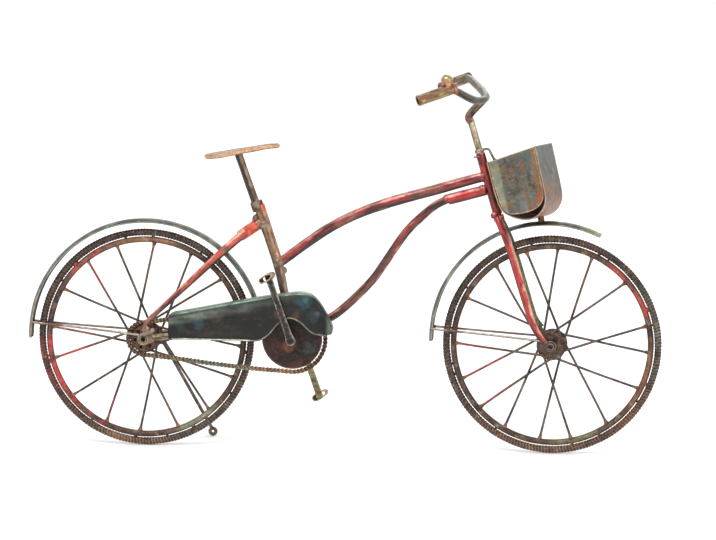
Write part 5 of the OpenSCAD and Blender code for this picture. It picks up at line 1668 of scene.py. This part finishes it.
# ---------------------------------------------------------------- braze lumps
fr = join(blob([-47.6, -2.6, 126.6], (3.3, 2.2, 3.5), 71), blob([-58.2, -0.6, 152.2], (4.3, 4.1, 4.2), 72, lump=0.2), blob([-45.6, 0.6, 120.8], (3.6, 3.4, 3.2), 73),
          blob([-131.8, -14.6, 79.6], (1.9, 1.1, 2.2), 74), blob([-135.6, -13.8, 80.8], (1.8, 1.6, 2.4), 75), blob([-135.6, 13.8, 80.8], (1.8, 1.6, 2.4), 76), blob([-213.6, -3.6, 82.8], (1.7, 1.3, 1.1), 77), blob([-213.6, 3.6, 82.8], (1.7, 1.3, 1.1), 78))
make("frame_braze_lumps", fr, "frame", [], rust_metal(), solder_paint(C(136, 118, 98), 11))
frr = join(blob([66.4, 0, 171.2], (3.4, 3.6, 3.2), 81), blob([90.6, 0, 186.4], (3.2, 3.7, 3.6), 82), blob([90.2, 0, 177.6], (3.2, 3.8, 3.9), 83), blob([-36, -0.5, 80.4], (4.4, 3.6, 3.0), 84))
make("frame_red_lumps", frr, "frame", [], red_metal(), red_paint(12, 0.5, 0.6, 0.3, C(150, 36, 38)))
stl = join(blob([130.0, 0.2, 158.4], (4.6, 3.4, 2.2), 91, d=(1, 0, 0.1)), blob([104.2, 0, 153.2], (2.6, 3.4, 2.0), 92), blob([58.0, -3.8, 83.7], (1.7, 1.2, 1.1), 93), blob([58.0, 3.8, 84.2], (1.7, 1.2, 1.1), 94), blob([98.4, 0, 197.8], (1.5, 2.2, 1.5), 95), blob([75.4, 45.4, 249.8], (2.4, 2.3, 2.2), 96))
make("fork_braze_lumps", stl, "steering", [], rust_metal(), solder_paint(C(110, 78, 56), 12))

# ---------------------------------------------------------------- floor, light, camera


def floor_material():
    m = bpy.data.materials.new("pale_floor")
    m.use_nodes = True
    b = m.node_tree.nodes["Principled BSDF"]
    b.inputs["Base Color"].default_value = (0.985, 0.985, 0.985, 1)
    b.inputs["Roughness"].default_value = 0.75
    b.inputs["Specular IOR Level"].default_value = 0.2
    return m


fm = bpy.data.meshes.new("floor")
fm.from_pydata([(-12, -6, 0), (12, -6, 0), (12, 14, 0), (-12, 14, 0)], [], [(0, 1, 2, 3)])
floor = bpy.data.objects.new("floor", fm)
bpy.context.scene.collection.objects.link(floor)
fm.materials.append(floor_material())

world = bpy.data.worlds.new("studio")
bpy.context.scene.world = world
world.use_nodes = True
bg = world.node_tree.nodes["Background"]
bg.inputs[0].default_value = (1.0, 1.0, 1.0, 1)
bg.inputs[1].default_value = 1.0


def area_light(name, at, to, size, power, color=(1, 1, 1), size_y=None):
    d = bpy.data.lights.new(name, "AREA")
    d.shape = "RECTANGLE"
    d.size, d.size_y, d.energy, d.color = size, size_y or size, power, color
    o = bpy.data.objects.new(name, d)
    o.location = at
    o.rotation_mode = "QUATERNION"
    o.rotation_quaternion = (Vector(to) - Vector(at)).to_track_quat("-Z", "Y")
    bpy.context.scene.collection.objects.link(o)
    return o


area_light("key_above", (-0.25, -0.75, 1.25), (0, 0, 0.12), 0.9, 9, size_y=0.5)
area_light("fill_right", (1.1, -0.9, 0.55), (0, 0, 0.12), 0.7, 3)
area_light("rim_behind", (0.2, 1.2, 1.0), (0, 0, 0.12), 1.2, 5)

cam_d = bpy.data.cameras.new("photo_camera")
cam = bpy.data.objects.new("photo_camera", cam_d)
bpy.context.scene.collection.objects.link(cam)
az, el = math.radians(6.5), math.radians(9.0)
target = Vector((0.01013, -0.0107, 0.12278))
back = Vector((math.sin(az) * math.cos(el), -math.cos(az) * math.cos(el), math.sin(el)))
cam.location = target + back * 3.5
cam.rotation_mode = "QUATERNION"
cam.rotation_quaternion = (-back).to_track_quat("-Z", "Y")
cam_d.sensor_fit = "HORIZONTAL"
cam_d.sensor_width = 36
cam_d.lens = 5193.75 / 716 * 36
cam_d.clip_start, cam_d.clip_end = 0.05, 60
bpy.context.scene.camera = cam
bpy.context.scene.view_settings.view_transform = "Standard"
bpy.context.scene.view_settings.look = "None"
bpy.context.scene.view_settings.exposure = 0.0
